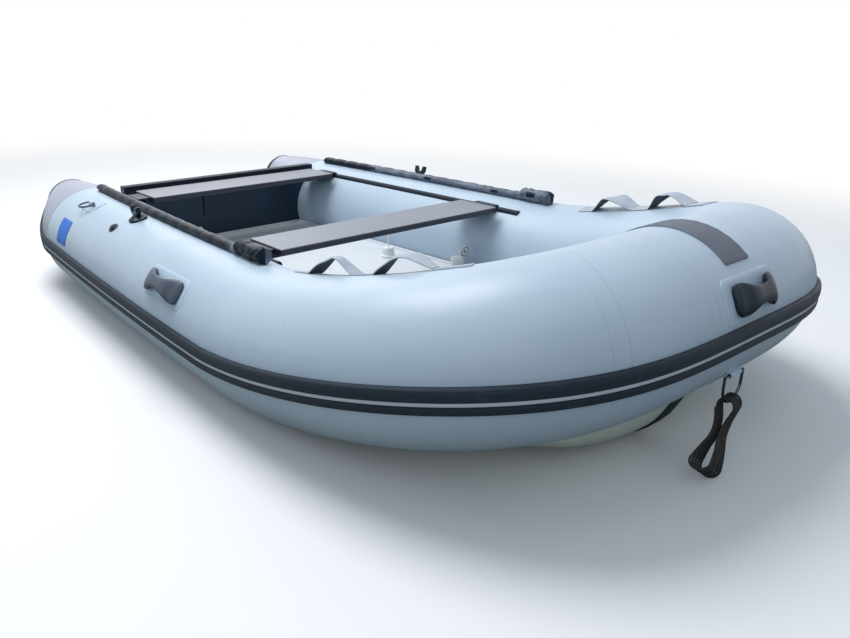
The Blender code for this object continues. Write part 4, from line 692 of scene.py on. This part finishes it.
quarter = np.linspace(0.0, math.pi / 2, 7)
rounding = DECK_ROUNDING * (1 - np.sin(quarter))
rise = DECK_ROUNDING * (1 - np.cos(quarter))
deck_inset = np.concatenate([[DECK_MIDDLE], rounding, rounding[::-1],
                             [0.020, DECK_SEAM, DECK_SEAM + 0.004, DECK_MIDDLE]])
deck_height = np.concatenate([[DECK_BOTTOM], DECK_BOTTOM + rise, DECK_TOP - rise[::-1], [DECK_TOP] * 4])
deck_grid = deck_edge(deck_inset, deck_height)
deck_round = np.linspace(0.0, DECK_GIRTH, deck_grid.shape[1] + 1)[None, :]
deck = skin("deck_skin", deck_grid, (deck_inset[:, None], deck_round))

deck_finish = Finish("deck_fabric")
inset, _, _ = deck_finish.parts(deck_finish.spread)
x, y, z = deck_finish.parts(deck_finish.place)
on_top = z.step(DECK_TOP - 0.004, DECK_TOP - 0.001)
seam = inset.near(DECK_SEAM, 0.0035).step(0.0, 0.5) * on_top
dimple = (x * DECK_DIMPLES).maths("SINE") * (y * DECK_DIMPLES).maths("SINE")
trodden = deck_finish.noise(5.0, 5.0).step(0.48, 0.80)
deck_tone = deck_finish.mixed(trodden * 0.55, DECK_COLOUR, DECK_SHADE)
deck_tone = deck_finish.mixed(seam, deck_tone, DECK_SEAM_COLOUR)
deck_paint = deck_finish.shader(Base_Color=deck_tone, Roughness=trodden * 0.12 + 0.50,
                                Normal=deck_finish.raised(dimple * 0.25 + seam * 0.5, 0.0012))
put(deck, "hull", "deck_fabric", deck_paint, "air_floor")

# Transom: a thick board painted dark blue, with a moulded cap over its top
# edge, a pad on each face for an outboard's clamp, and a drain plug.

BOARD_COLOUR = (0.0120, 0.0190, 0.0370)
BOARD_WORN = (0.040, 0.052, 0.080)
MOULDED_COLOUR = (0.0040, 0.0055, 0.0100)
MOULDED_WORN = (0.016, 0.020, 0.030)
GREY_COLOUR = (0.062, 0.073, 0.098)
GREY_WORN = (0.120, 0.136, 0.170)
PAD_COLOUR = (0.0150, 0.0205, 0.0340)
PAD_RUBBED = (0.030, 0.038, 0.056)
PAD_RIBS = 520.0
WHITE_COLOUR = (0.760, 0.785, 0.795)
WHITE_WORN = (0.640, 0.650, 0.640)


def painted_board(name, colour, worn, grain_along):
    """Painted ply: the grain stands faintly through the paint along one
    way, and the paint is rubbed here and there."""
    board = Finish(name)
    grain = board.noise(60.0, 4.0, grain_along)
    rubbed = board.noise(9.0, 5.0).step(0.55, 0.80)
    return board.shader(Base_Color=board.mixed(rubbed * 0.5, colour, worn),
                        Roughness=rubbed * 0.18 + 0.34, Specular_Tint=SKY_SHEEN,
                        Normal=board.raised(grain, 0.0005))


def moulded(name, colour, worn, roughness=0.36):
    """Injection-moulded plastic: a fine spark-eroded grain, with paler
    rubbing in patches."""
    plastic = Finish(name)
    grain = plastic.noise(1400.0)
    rubbed = plastic.noise(45.0, 4.0).step(0.55, 0.80)
    return plastic.shader(Base_Color=plastic.mixed(rubbed * 0.5, colour, worn),
                          Roughness=rubbed * 0.15 + roughness, Specular_Tint=SKY_SHEEN,
                          Normal=plastic.raised(grain, 0.00018))


def padded_plate():
    """The clamp pads: dark plastic with a raised criss-cross that keeps
    the clamp's screws from slipping."""
    pad = Finish("pad_plastic")
    x, _, z = pad.parts(pad.place)
    one_way, other_way = ((way * PAD_RIBS).maths("SINE").step(0.2, 0.6) for way in (x + z, x - z))
    ribs = one_way + other_way
    return pad.shader(Base_Color=pad.mixed(ribs * 0.25, PAD_COLOUR, PAD_RUBBED), Roughness=0.45,
                      Specular_Tint=SKY_SHEEN, Normal=pad.raised(ribs * 0.5, 0.0010))


black_plastic = moulded("black_moulded", MOULDED_COLOUR, MOULDED_WORN)
white_plastic = moulded("white_moulded", WHITE_COLOUR, WHITE_WORN, 0.33)
grey_plastic = moulded("grey_moulded", GREY_COLOUR, GREY_WORN, 0.38)
refinish(painted_board("board_paint", BOARD_COLOUR, BOARD_WORN, (0.08, 1.0, 1.0)), "transom_board")
refinish(padded_plate(), "motor_pad_outer", "motor_pad_inner")
refinish(rubber_paint, "transom_cap")
refinish(white_plastic, "drain_plug")

# Seats: two painted boards, lighter on their tops than on their edges and
# undersides. A moulded hook under each end slides along a rubber rail that is welded to the tube.

SEAT_TOP = 0.397
SEAT_COLOUR = (0.165, 0.188, 0.240)
SEAT_WORN = (0.225, 0.250, 0.300)
SEAT_EDGE = (0.0120, 0.0150, 0.0290)

seat_finish = Finish("seat_paint")
x, y, z = seat_finish.parts(seat_finish.place)
# The top face gets the lighter tones and every other face the dark edge colour.
top_face = z.step(SEAT_TOP - 0.0022, SEAT_TOP - 0.0006)
scratch = seat_finish.noise(30.0, 6.0, (0.35, 1.0, 1.0)).step(0.50, 0.80)
seat_tone = seat_finish.mixed(scratch * 0.6, SEAT_COLOUR, SEAT_WORN)
seat_tone = seat_finish.mixed(top_face, SEAT_EDGE, seat_tone)
seat_grain = seat_finish.noise(75.0, 4.0, (0.06, 1.0, 1.0))
seat_paint = seat_finish.shader(Base_Color=seat_tone, Roughness=scratch * 0.15 + 0.36, Coat_Weight=0.1,
                                Coat_Roughness=0.25, Normal=seat_finish.raised(seat_grain, 0.0004))
refinish(seat_paint, "seat_front_board", "seat_rear_board")
for side in SIDES:
    refinish(black_plastic, "seat_front_hook_" + side, "seat_rear_hook_" + side)
    refinish(rubber_paint, "seat_rail_" + side)

# Carrying handles: each is moulded in one piece, two feet and a bridge with
# a gap for the fingers, glued on a patch welded to the tube. One is on each
# side and one across the bow.

PATCH_SINK = 0.0008
PATCH_TOP = 0.0019
PATCH_CORNER = 0.022
PATCH_BEVEL = 0.0008
PATCH_BEND_STEPS = 7
PATCH_EDGE_STEPS = 12
PATCH_COLOUR = (0.415, 0.525, 0.640)
PATCH_EDGE = (0.560, 0.660, 0.760)
HANDLE_FOOT = 0.0022
HANDLE_WALL = 0.0145
HANDLE_HEIGHT = 0.0375
HANDLE_POWER = 2.6
HANDLE_HALF = np.array([
    # along, half width, underside, top
    (0.000, 0.30, 0.00, 0.10), (0.008, 0.66, 0.00, 0.24), (0.040, 0.96, 0.00, 0.44),
    (0.110, 1.00, 0.00, 0.56), (0.165, 0.96, 0.00, 0.72), (0.220, 0.80, 0.40, 0.90),
    (0.320, 0.58, 1.00, 1.00), (0.420, 0.51, 1.00, 1.00), (0.500, 0.49, 1.00, 1.00)])
HANDLE_SHARES = np.concatenate([HANDLE_HALF, (HANDLE_HALF * (-1, 1, 1, 1) + (1, 0, 0, 0))[-2::-1]])
HANDLE_GIRTH = 0.18
HANDLE_COLUMNS = 40
# Half length and half angle of a patch, length and half width of a grip.
SIDE_HANDLE_Y = 0.147 - SHIFT_AFT
SIDE_ANGLE = 33.75
SIDE_PATCH = (0.125, 13.5)
SIDE_GRIP = (0.215, 0.034)
BOW_ANGLE = 22.5
BOW_PATCH = (0.115, 15.0)
BOW_GRIP = (0.170, 0.036)


def patch_skin(name, place, angle, half_length, half_angle, corner=PATCH_CORNER, rings=5, top=PATCH_TOP):
    """A thin patch with rounded corners on the tube. Its outline is drawn
    flat and shrunk towards its middle in rings, and every ring is bent
    round the tube."""
    half_width = math.radians(half_angle) * TUBE_RADIUS
    bend = np.linspace(0.0, math.pi / 2, PATCH_BEND_STEPS)
    along, aside = [], []
    for quadrant, (way_along, way_aside) in enumerate(((1, 1), (-1, 1), (-1, -1), (1, -1))):
        turn = bend + quadrant * math.pi / 2
        along.append(way_along * (half_length - corner) + corner * np.cos(turn))
        aside.append(way_aside * (half_width - corner) + corner * np.sin(turn))
        after_along = (-1, -1, 1, 1)[quadrant] * (half_length - corner)
        after_aside = (1, -1, -1, 1)[quadrant] * (half_width - corner)
        if quadrant % 2 == 0:
            along.append(np.linspace(along[-1][-1], after_along, PATCH_EDGE_STEPS + 2)[1:-1])
            aside.append(np.full(PATCH_EDGE_STEPS, aside[-1][-1]))
        else:
            along.append(np.full(PATCH_EDGE_STEPS, along[-1][-1]))
            aside.append(np.linspace(aside[-1][-1], after_aside, PATCH_EDGE_STEPS + 2)[1:-1])
    along, aside = np.concatenate(along), np.concatenate(aside)
    inward = np.linspace(0.0, 1.0, rings + 1)[:-1]
    shrink = np.concatenate([1 - inward[::-1], [1.0, 1.0], 1 - (PATCH_BEVEL / half_width + inward)])
    lift = np.concatenate([np.full(rings, -PATCH_SINK), [0.0, top * 0.6], np.full(rings, top)])
    grid_along, grid_aside = shrink[:, None] * along, shrink[:, None] * aside
    grid = on_tube(place + grid_along, angle + np.degrees(grid_aside / TUBE_RADIUS), lift[:, None])
    round_way = np.linspace(0.0, 1.0, len(along) + 1)[None, :]
    return skin(name, grid, (shrink[:, None], round_way), smooth_angle=60.0)


def patch_fabric(name, colour, edge, roughness=0.48, rim=0.03):
    """Fabric patches: a clear cloth grain and a line of set glue round the
    rim, which shows paler."""
    fabric = Finish(name)
    shrink, _, _ = fabric.parts(fabric.spread)
    x, y, z = fabric.parts(fabric.place)
    line = shrink.step(1.0 - rim, 1.0 - rim * 0.3)
    cloud = fabric.noise(18.0, 4.0)
    weave = ((x + z) * 2400.0).maths("SINE") * ((y - z) * 2400.0).maths("SINE")
    tone = fabric.mixed(line * 0.7, fabric.mixed(cloud.step(0.35, 0.70) * 0.25, colour, edge), edge)
    return fabric.shader(Base_Color=tone, Roughness=cloud * 0.10 + roughness, Specular_IOR_Level=0.3,
                         Normal=fabric.raised(weave * 0.15 + line * 0.4, 0.0006))


def grip_skin(name, place, angle, length, half_width):
    """A moulded handle. Each section is a rounded rectangle, a circle with
    its sine and cosine raised to a power, from the handle's underside to
    its top, and the shares along it are joined smoothly."""
    shares = smoothed(HANDLE_SHARES, steps=5)
    turn = np.linspace(0.0, 2 * math.pi, HANDLE_COLUMNS, endpoint=False)[None, :]
    squared = [np.sign(way) * abs(way) ** (2 / HANDLE_POWER) for way in (np.cos(turn), np.sin(turn))]
    across = squared[0] * shares[:, 1:2] * half_width
    low = HANDLE_FOOT + (HANDLE_HEIGHT - HANDLE_WALL - HANDLE_FOOT) * shares[:, 2:3]
    high = HANDLE_FOOT + (HANDLE_HEIGHT - HANDLE_FOOT) * shares[:, 3:4]
    lift = (low + high) / 2 + (high - low) / 2 * squared[1]
    grid = on_tube(place + length * (shares[:, :1] - 0.5), angle + np.degrees(across / TUBE_RADIUS), lift)
    round_way = np.linspace(0.0, HANDLE_GIRTH, HANDLE_COLUMNS + 1)[None, :]
    return skin(name, grid, (shares[:, :1] * length, round_way), smooth_angle=65.0)


patch_paint = patch_fabric("pale_patch", PATCH_COLOUR, PATCH_EDGE)
for side in SIDES:
    place = on_side(side, place_abreast(SIDE_HANDLE_Y))
    patch = patch_skin("side_patch_skin_" + side, place, SIDE_ANGLE, *SIDE_PATCH)
    put(patch, "hull", "pale_patch", patch_paint, "side_patch_" + side)
    grip = grip_skin("side_grip_" + side, place, SIDE_ANGLE, *SIDE_GRIP)
    put(grip, "hull", "grey_moulded", grey_plastic, "side_handle_" + side)
patch = patch_skin("bow_patch_skin", HALF_LENGTH, BOW_ANGLE, *BOW_PATCH)
put(patch, "hull", "pale_patch", patch_paint, "bow_handle_patch")
grip = grip_skin("bow_grip", HALF_LENGTH, BOW_ANGLE, *BOW_GRIP)
put(grip, "hull", "black_moulded", black_plastic, "bow_handle")

# Wearing strip: heavier rubberised fabric glued over the bow's middle, where
# the anchor line is hauled.

STRIP_ANGLE = 101.25
STRIP_HALF_LENGTH = 0.052
STRIP_HALF_ANGLE = 56.25
STRIP_CORNER = 0.006
STRIP_RINGS = 34
STRIP_TOP = 0.0031
STRIP_COLOUR = (0.108, 0.124, 0.162)
STRIP_EDGE = (0.200, 0.225, 0.280)

strip = patch_skin("wear_strip_skin", HALF_LENGTH, STRIP_ANGLE, STRIP_HALF_LENGTH, STRIP_HALF_ANGLE,
                   STRIP_CORNER, STRIP_RINGS, STRIP_TOP)
strip_paint = patch_fabric("wear_strip", STRIP_COLOUR, STRIP_EDGE, 0.55, 0.012)
put(strip, "hull", "patch_rubber", strip_paint, "bow_wear_patch")

# Label patches: a plain patch of blue fabric with nothing on it, glued on
# the outside of each side tube near the stern.

LABEL_ENDS = (-0.890 - SHIFT_AFT, -0.775 - SHIFT_AFT)
LABEL_ANGLE = 25.3125
LABEL_HALF_ANGLE = 14.0625
LABEL_CORNER = 0.008
BLUE_COLOUR = (0.001, 0.150, 0.640)
BLUE_EDGE = (0.090, 0.150, 0.260)

label_start, label_end = (place_abreast(y) for y in LABEL_ENDS)
label_half = (label_end - label_start) / 2
label_paint = patch_fabric("blue_patch", BLUE_COLOUR, BLUE_EDGE, 0.42, 0.05)
for side in SIDES:
    place = on_side(side, label_start + label_half)
    label = patch_skin("label_skin_" + side, place, LABEL_ANGLE, label_half, LABEL_HALF_ANGLE, LABEL_CORNER)
    put(label, "hull", "blue_patch", label_paint, "label_patch_" + side)

# Rings, oarlocks and valves: bent steel rings in sleeves on glued patches,
# moulded oarlocks that turn on their bases, and screw-in air valves. The
# deck's two valves are white, one with a stopper and one with a cap.

STEEL_COLOUR = (0.082, 0.088, 0.104)
STEEL_DULL = (0.045, 0.049, 0.060)
SEAL_RADII = (0.0185, 0.0060)
SEAL_HALF_WIDTH = 0.0035

steel = Finish("steel")
steel_worn = steel.noise(120.0, 4.0)
steel_paint = steel.shader(Base_Color=steel.mixed(steel_worn.step(0.45, 0.75), STEEL_COLOUR, STEEL_DULL),
                           Metallic=1.0, Roughness=steel_worn * 0.25 + 0.16,
                           Normal=steel.raised(steel.noise(900.0), 0.0001))
refinish(steel_paint, "tow_ring", "stern_ring_starboard", "stern_ring_port")
refinish(patch_paint, "tow_ring_patch", "stern_ring_starboard_patch", "stern_ring_port_patch")
for side in SIDES:
    refinish(black_plastic, "oarlock_base_" + side, "oarlock_" + side, "air_valve_" + side)
refinish(white_plastic, "deck_valve", "deck_valve_stopper", "keel_valve")


def ringed_cap(node):
    """The keel valve's cap: white, with a grey seal in two rings. Where a
    ring is follows from the distance to the cap's middle."""
    low, high = (np.array(corner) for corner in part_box(node))
    middle = np.array([(low[0] + high[0]) / 2, (low[1] + high[1]) / 2, high[2] - (high[0] - low[0]) / 2])
    cap = Finish("keel_cap_plastic")
    spots = {0: cap.place, 1: middle.tolist()}
    away = cap.node("ShaderNodeVectorMath", "Value", {"operation": "DISTANCE"}, spots)
    outer, inner = (away.near(radius, SEAL_HALF_WIDTH) for radius in SEAL_RADII)
    seal = (outer + inner).step(0.0, 0.4)
    worn = cap.noise(45.0, 4.0).step(0.55, 0.80)
    white = cap.mixed(worn * 0.4, WHITE_COLOUR, WHITE_WORN)
    return cap.shader(Base_Color=cap.mixed(seal * 0.75, white, GREY_WORN), Roughness=worn * 0.15 + 0.33,
                      Normal=cap.raised(seal, 0.0008))


refinish(ringed_cap("keel_valve_cap"), "keel_valve_cap")

# Webbing: a grey woven strap on top of each side of the bow, its underside
# painted dark as shade. It is glued and sewn down in three places and left in
# two slack loops to lift and lash by.

WEBBING_ANGLE = 101.25
WEBBING_HALF_WIDTH = 0.024
WEBBING_THICKNESS = 0.0026
WEBBING_FLAT = 0.060
WEBBING_SPACING = 0.255
WEBBING_LOOP = 0.190
WEBBING_TAIL = 0.085
WEBBING_HEIGHT = 0.0425
WEBBING_LEAN = 0.0075
WEBBING_WAVES = (19.0, 57.0)
WEBBING_CURL = 0.0035
WEBBING_GLUE = 0.0003
WEBBING_COLUMNS = 9
WEBBING_UNDERSIDE = -1.0
WEBBING_COLOUR = (0.430, 0.485, 0.560)
WEBBING_SHADE = (0.285, 0.330, 0.400)
THREAD_COLOUR = (0.500, 0.540, 0.590)
WEBBING_PAINTED_SHADE = (0.045, 0.055, 0.080)
LOOP_SHARES = [(0.0, 0.0), (0.06, 0.10), (0.16, 0.42), (0.28, 0.78), (0.38, 0.97), (0.50, 1.0),
               (0.62, 0.96), (0.74, 0.72), (0.86, 0.34), (0.95, 0.07), (1.0, 0.0)]

strap_start = place_abreast(0.590 - SHIFT_AFT)
strap_route = [(0.0, 0.0, 0.0), (0.030, 0.0, 0.0)]
for loop in range(2):
    foot = WEBBING_FLAT + loop * WEBBING_SPACING
    strap_route += [(foot + WEBBING_LOOP * along, WEBBING_HEIGHT * up, up) for along, up in LOOP_SHARES]
strap_route.append((strap_route[-1][0] + WEBBING_TAIL, 0.0, 0.0))
strap_line = smoothed(np.array(strap_route), steps=8)
strap_place, strap_height, strap_slack = (strap_line[:, k:k + 1] for k in range(3))
strap_height = np.maximum(strap_height, 0.0)
slow, quick = (np.sin(strap_place * wave) for wave in WEBBING_WAVES)
lean = WEBBING_LEAN * strap_slack * (slow + 0.5 * quick)
width_shares = np.linspace(-1.0, 1.0, WEBBING_COLUMNS)[None, :]
face = strap_height + lean * width_shares - WEBBING_CURL * np.clip(strap_slack, 0, 1) * width_shares ** 2
face = np.maximum(face, 0.0) + WEBBING_GLUE
strap_lift = np.concatenate([face, face[:, ::-1] + WEBBING_THICKNESS], axis=1)
strap_across = np.concatenate([width_shares, width_shares[:, ::-1]], axis=1)
strap_turn = WEBBING_ANGLE + np.degrees(strap_across * WEBBING_HALF_WIDTH / TUBE_RADIUS)
strap_along = lengths_along(np.concatenate([strap_place, strap_height, strap_place * 0.0], axis=1))
# The spread's second value is the way across the strap. On the underside it
# is shifted, so that the finish can tell that side from the top and shade it.
strap_v = np.append(strap_across[0], strap_across[0, 0])[None, :] * WEBBING_HALF_WIDTH
strap_v = strap_v + (np.arange(strap_v.shape[1]) < WEBBING_COLUMNS)[None, :] * WEBBING_UNDERSIDE

strap_finish = Finish("webbing")
u, v, _ = strap_finish.parts(strap_finish.spread)
ribs = (u * 2900.0).maths("SINE") * ((v * 4200.0).maths("SINE") * 0.5 + 0.5)
hem = abs(v).near(WEBBING_HALF_WIDTH * 0.80, 0.0016)
stitch = hem.step(0.0, 0.5) * (u * 1800.0).maths("SINE").step(-0.2, 0.2)
soiled = strap_finish.noise(16.0, 4.0).step(0.45, 0.75)
strap_tone = strap_finish.mixed(soiled * 0.7, WEBBING_COLOUR, WEBBING_SHADE)
strap_tone = strap_finish.mixed(stitch * 0.6, strap_tone, THREAD_COLOUR)
# Painted shade: the underside is dark, for the shade under and inside the loops.
strap_tone = strap_finish.mixed(v.step(-0.90, -0.10), WEBBING_PAINTED_SHADE, strap_tone)
strap_paint = strap_finish.shader(Base_Color=strap_tone, Roughness=0.72, Sheen_Weight=0.1,
                                  Normal=strap_finish.raised(ribs * 0.25 + stitch * 0.4, 0.0009))
for side in SIDES:
    strap_grid = on_tube(on_side(side, strap_start + strap_place), strap_turn, strap_lift)
    strap = skin("strap_" + side, strap_grid, (strap_along[:, None], strap_v), smooth_angle=60.0)
    put(strap, "hull", "webbing", strap_paint, "webbing_" + side)

# Grab rolls: a padded roll of black cover fabric with a grey inner face,
# laced along the top of each side and held by black toggles. It is thicker
# at its forward end, where the slack of the cover is gathered in a collar.

ROLL_RADIUS = 0.0188
ROLL_HEAD_RADIUS = 0.0246
ROLL_ANGLE = 95.625
ROLL_ENDS = (place_abreast(-0.985 - SHIFT_AFT), place_abreast(0.415 - SHIFT_AFT))
ROLL_HEAD = place_abreast(0.250 - SHIFT_AFT)
ROLL_LACING = 0.085
ROLL_FLATTENING = 0.26
ROLL_STEPS = 520
ROLL_COLUMNS = 40
ROLL_CLOSING = 0.020
ROLL_CLOSED_SHARE = 0.12
ROLL_HEAD_LENGTH = 0.010
ROLL_COLLAR_LENGTH = 0.012
ROLL_COLLAR_DEPTH = 0.16
ROLL_LACING_DEPTH = 0.10
ROLL_TOGGLE_REACH = 0.024
ROLL_COLOUR = (0.0028, 0.0050, 0.0120)
ROLL_WORN = (0.0070, 0.0115, 0.0240)
ROLL_COLLAR = (0.200, 0.235, 0.300)
ROLL_LINING = (0.150, 0.178, 0.228)
ROLL_LINING_CREASE_SHADE = (0.085, 0.102, 0.136)
ROLL_LINING_START = 0.36
ROLL_TOGGLES = (0.38, 0.74, 1.12, 1.31)

# The roll's radius along it: drawn in by the lacing, wider in the head,
# pinched at the collar and rounded off at both ends. Its creases are a wave
# along the roll, bent and faded by waves round it, and a slower wave that
# winds round it. Its underside is pressed flat on the tube.
roll_places = np.linspace(*ROLL_ENDS, ROLL_STEPS)[:, None]
roll_turn = np.linspace(0.0, 2 * math.pi, ROLL_COLUMNS, endpoint=False)[None, :]
from_end = np.minimum(roll_places - ROLL_ENDS[0], ROLL_ENDS[1] - roll_places)
closing = np.sqrt(1 - (1 - np.clip(from_end / ROLL_CLOSING, 0.0, 1.0)) ** 2)
closing = closing * (1 - ROLL_CLOSED_SHARE) + ROLL_CLOSED_SHARE
head = 1 / (1 + np.exp(-(roll_places - ROLL_HEAD) / ROLL_HEAD_LENGTH))
collar = np.exp(-((roll_places - ROLL_HEAD) / ROLL_COLLAR_LENGTH) ** 2)
drawn = abs(np.sin(math.pi * (roll_places - ROLL_ENDS[0]) / ROLL_LACING)) ** 0.5
laced = ROLL_RADIUS * (1 - ROLL_LACING_DEPTH + ROLL_LACING_DEPTH * drawn)
size = laced * (1 - head) + ROLL_HEAD_RADIUS * head
size = size * (1 - ROLL_COLLAR_DEPTH * collar) * closing
flatness = 1 - ROLL_FLATTENING * (1 - head)
crease = np.sin(roll_places * 165.0 + 2.6 * np.sin(roll_turn * 2 + roll_places * 31.0))
crease = crease * np.sin(roll_turn * 2 + roll_places * 43.0)
crease = crease + 0.6 * np.sin(roll_places * 71.0 + roll_turn)
reach = size * (1 - 0.06 * head + crease * (0.025 + 0.055 * head))
roll_lift = np.maximum((size + reach * np.sin(roll_turn)) * flatness, 0.0004)
roll_across = reach * np.cos(roll_turn)

roll_finish = Finish("roll_fabric")
u, v, _ = roll_finish.parts(roll_finish.spread)
band = u.near(float(ROLL_HEAD - ROLL_ENDS[0]), 0.020).step(0.10, 0.40)
lace = v.near(0.25, 0.030).step(0.0, 0.4) * (u * 148.0).maths("SINE").step(0.30, 0.70)
rubbed = roll_finish.noise(22.0, 5.0).step(0.48, 0.78)
folds = roll_finish.noise(34.0, 3.0, (1.0, 0.35, 1.0))
roll_tone = roll_finish.mixed(rubbed * 0.6, ROLL_COLOUR, ROLL_WORN)
roll_tone = roll_finish.mixed(lace * 0.5, roll_tone, ROLL_COLLAR)
roll_tone = roll_finish.mixed(band * 0.8, roll_tone, ROLL_COLLAR)
outboard = v.step(0.20, 0.26) - v.step(0.70, 0.76)
lining = (1.0 - outboard) * u.step(ROLL_LINING_START, ROLL_LINING_START + 0.012)
toggles = 0.0
for toggle in ROLL_TOGGLES:
    toggles = u.near(toggle, ROLL_TOGGLE_REACH).step(0.0, 0.3) * (1.0 - v.step(0.12, 0.15)) + toggles
# Painted shade: the lining is darker in the hollows of the folds that the bump below raises.
lining_tone = roll_finish.mixed(folds.step(0.42, 0.58), ROLL_LINING_CREASE_SHADE, ROLL_LINING)
roll_tone = roll_finish.mixed(lining, roll_tone, lining_tone)
roll_tone = roll_finish.mixed(toggles.maths("MINIMUM", 1.0), roll_tone, ROLL_COLOUR)
roll_paint = roll_finish.shader(Base_Color=roll_tone, Roughness=rubbed * 0.20 + 0.40,
                                Specular_IOR_Level=0.22, Specular_Tint=SKY_SHEEN,
                                Normal=roll_finish.raised(folds + lace * 0.3, 0.0030))
roll_spread = (roll_places - ROLL_ENDS[0], np.linspace(0.0, 1.0, ROLL_COLUMNS + 1)[None, :])
roll_round = ROLL_ANGLE + np.degrees(roll_across / TUBE_RADIUS)
for side in SIDES:
    roll_grid = on_tube(on_side(side, roll_places), roll_round, roll_lift)
    roll = skin("grab_roll_" + side, roll_grid, roll_spread, smooth_angle=70.0)
    put(roll, "hull", "roll_fabric", roll_paint, "roll_" + side)

# Studio: a plain pale floor that keeps the boat's shadow and fades into a
# white background, three soft lamps and an even pale blue light all round.

FLOOR_HALF = 9.0
FLOOR_LEVEL = -0.0005
FLOOR_COLOUR = (0.900, 0.903, 0.905)
FLOOR_SHADE = (0.885, 0.888, 0.891)
FLOOR_BOUNCE = (0.270, 0.290, 0.270)
FLOOR_NEAR = 1.75
FLOOR_FAR = 3.60
FLOOR_HALF_AXES = (1.25, 1.75)
LAMPS = [("key", (0.8, -1.2, 4.4), 166.0), ("fill", (3.6, 3.0, 2.6), 20.0), ("back", (-1.4, -4.2, 3.0), 34.0)]
LAMP_SIZE = 3.0
LAMP_AIM = (0.0, 0.0, 0.25)
SKY = (0.80, 0.89, 1.00)
SKY_STRENGTH = 0.55
WHITE = (1.0, 1.0, 1.0, 1.0)

floor_mesh = bpy.data.meshes.new("floor")
floor_corners = [(x * FLOOR_HALF, y * FLOOR_HALF, FLOOR_LEVEL)
                 for x, y in ((-1, -1), (1, -1), (1, 1), (-1, 1))]
floor_mesh.from_pydata(floor_corners, [], [(0, 1, 2, 3)])
floor = bpy.data.objects.new("floor", floor_mesh)
bpy.context.scene.collection.objects.link(floor)
floor_finish = Finish("floor_paint")
floor_cloud = floor_finish.noise(0.8, 3.0)
seen = floor_finish.node("ShaderNodeLightPath", "Is Camera Ray")
x, y, _ = floor_finish.parts(floor_finish.place)
away = ((x / FLOOR_HALF_AXES[0]) ** 2 + (y / FLOOR_HALF_AXES[1]) ** 2).maths("SQRT")
faded = away.step(FLOOR_NEAR, FLOOR_FAR) * seen
floor_tone = floor_finish.mixed(floor_cloud, FLOOR_COLOUR, FLOOR_SHADE)
floor_tone = floor_finish.mixed(seen, FLOOR_BOUNCE, floor_tone)
floor_coat = floor_finish.surface(Base_Color=floor_tone, Roughness=0.85, Specular_IOR_Level=0.0)
floor_white = floor_finish.node("ShaderNodeEmission", 0, {}, {"Color": WHITE, "Strength": 1.0})
floor_both = floor_finish.node("ShaderNodeMixShader", 0, {}, {0: faded, 1: floor_coat, 2: floor_white})
floor_mesh.materials.append(floor_finish.closed(floor_both))

for name, place, power in LAMPS:
    lamp_data = bpy.data.lights.new(name, "AREA")
    lamp_data.shape = "DISK"
    lamp_data.size = LAMP_SIZE
    lamp_data.energy = power
    lamp = bpy.data.objects.new(name, lamp_data)
    bpy.context.scene.collection.objects.link(lamp)
    beam = np.array(LAMP_AIM) - np.array(place)
    beam /= np.linalg.norm(beam)
    side_way = np.cross(beam, (0.0, 0.0, 1.0))
    side_way /= np.linalg.norm(side_way)
    aimed = np.eye(4)
    aimed[:3, :3] = np.stack([side_way, np.cross(side_way, beam), -beam], axis=1)
    aimed[:3, 3] = place
    lamp.matrix_world = Matrix(aimed.tolist())

sky = Finish("studio", bpy.data.worlds.new("studio"))
camera_ray, glossy_ray, clear_ray = (
    sky.node("ShaderNodeLightPath", ray) for ray in ("Is Camera Ray", "Is Glossy Ray", "Is Transmission Ray"))
in_view = camera_ray.maths("MAXIMUM", glossy_ray.maths("MAXIMUM", clear_ray))
lit = sky.node("ShaderNodeBackground", 0, {}, {"Color": (*SKY, 1.0), "Strength": SKY_STRENGTH})
white = sky.node("ShaderNodeBackground", 0, {}, {"Color": WHITE, "Strength": 1.0})
both = sky.node("ShaderNodeMixShader", 0, {}, {0: in_view, 1: lit, 2: white})
bpy.context.scene.world = sky.closed(both, "ShaderNodeOutputWorld")
bpy.context.scene.view_settings.view_transform = "Standard"
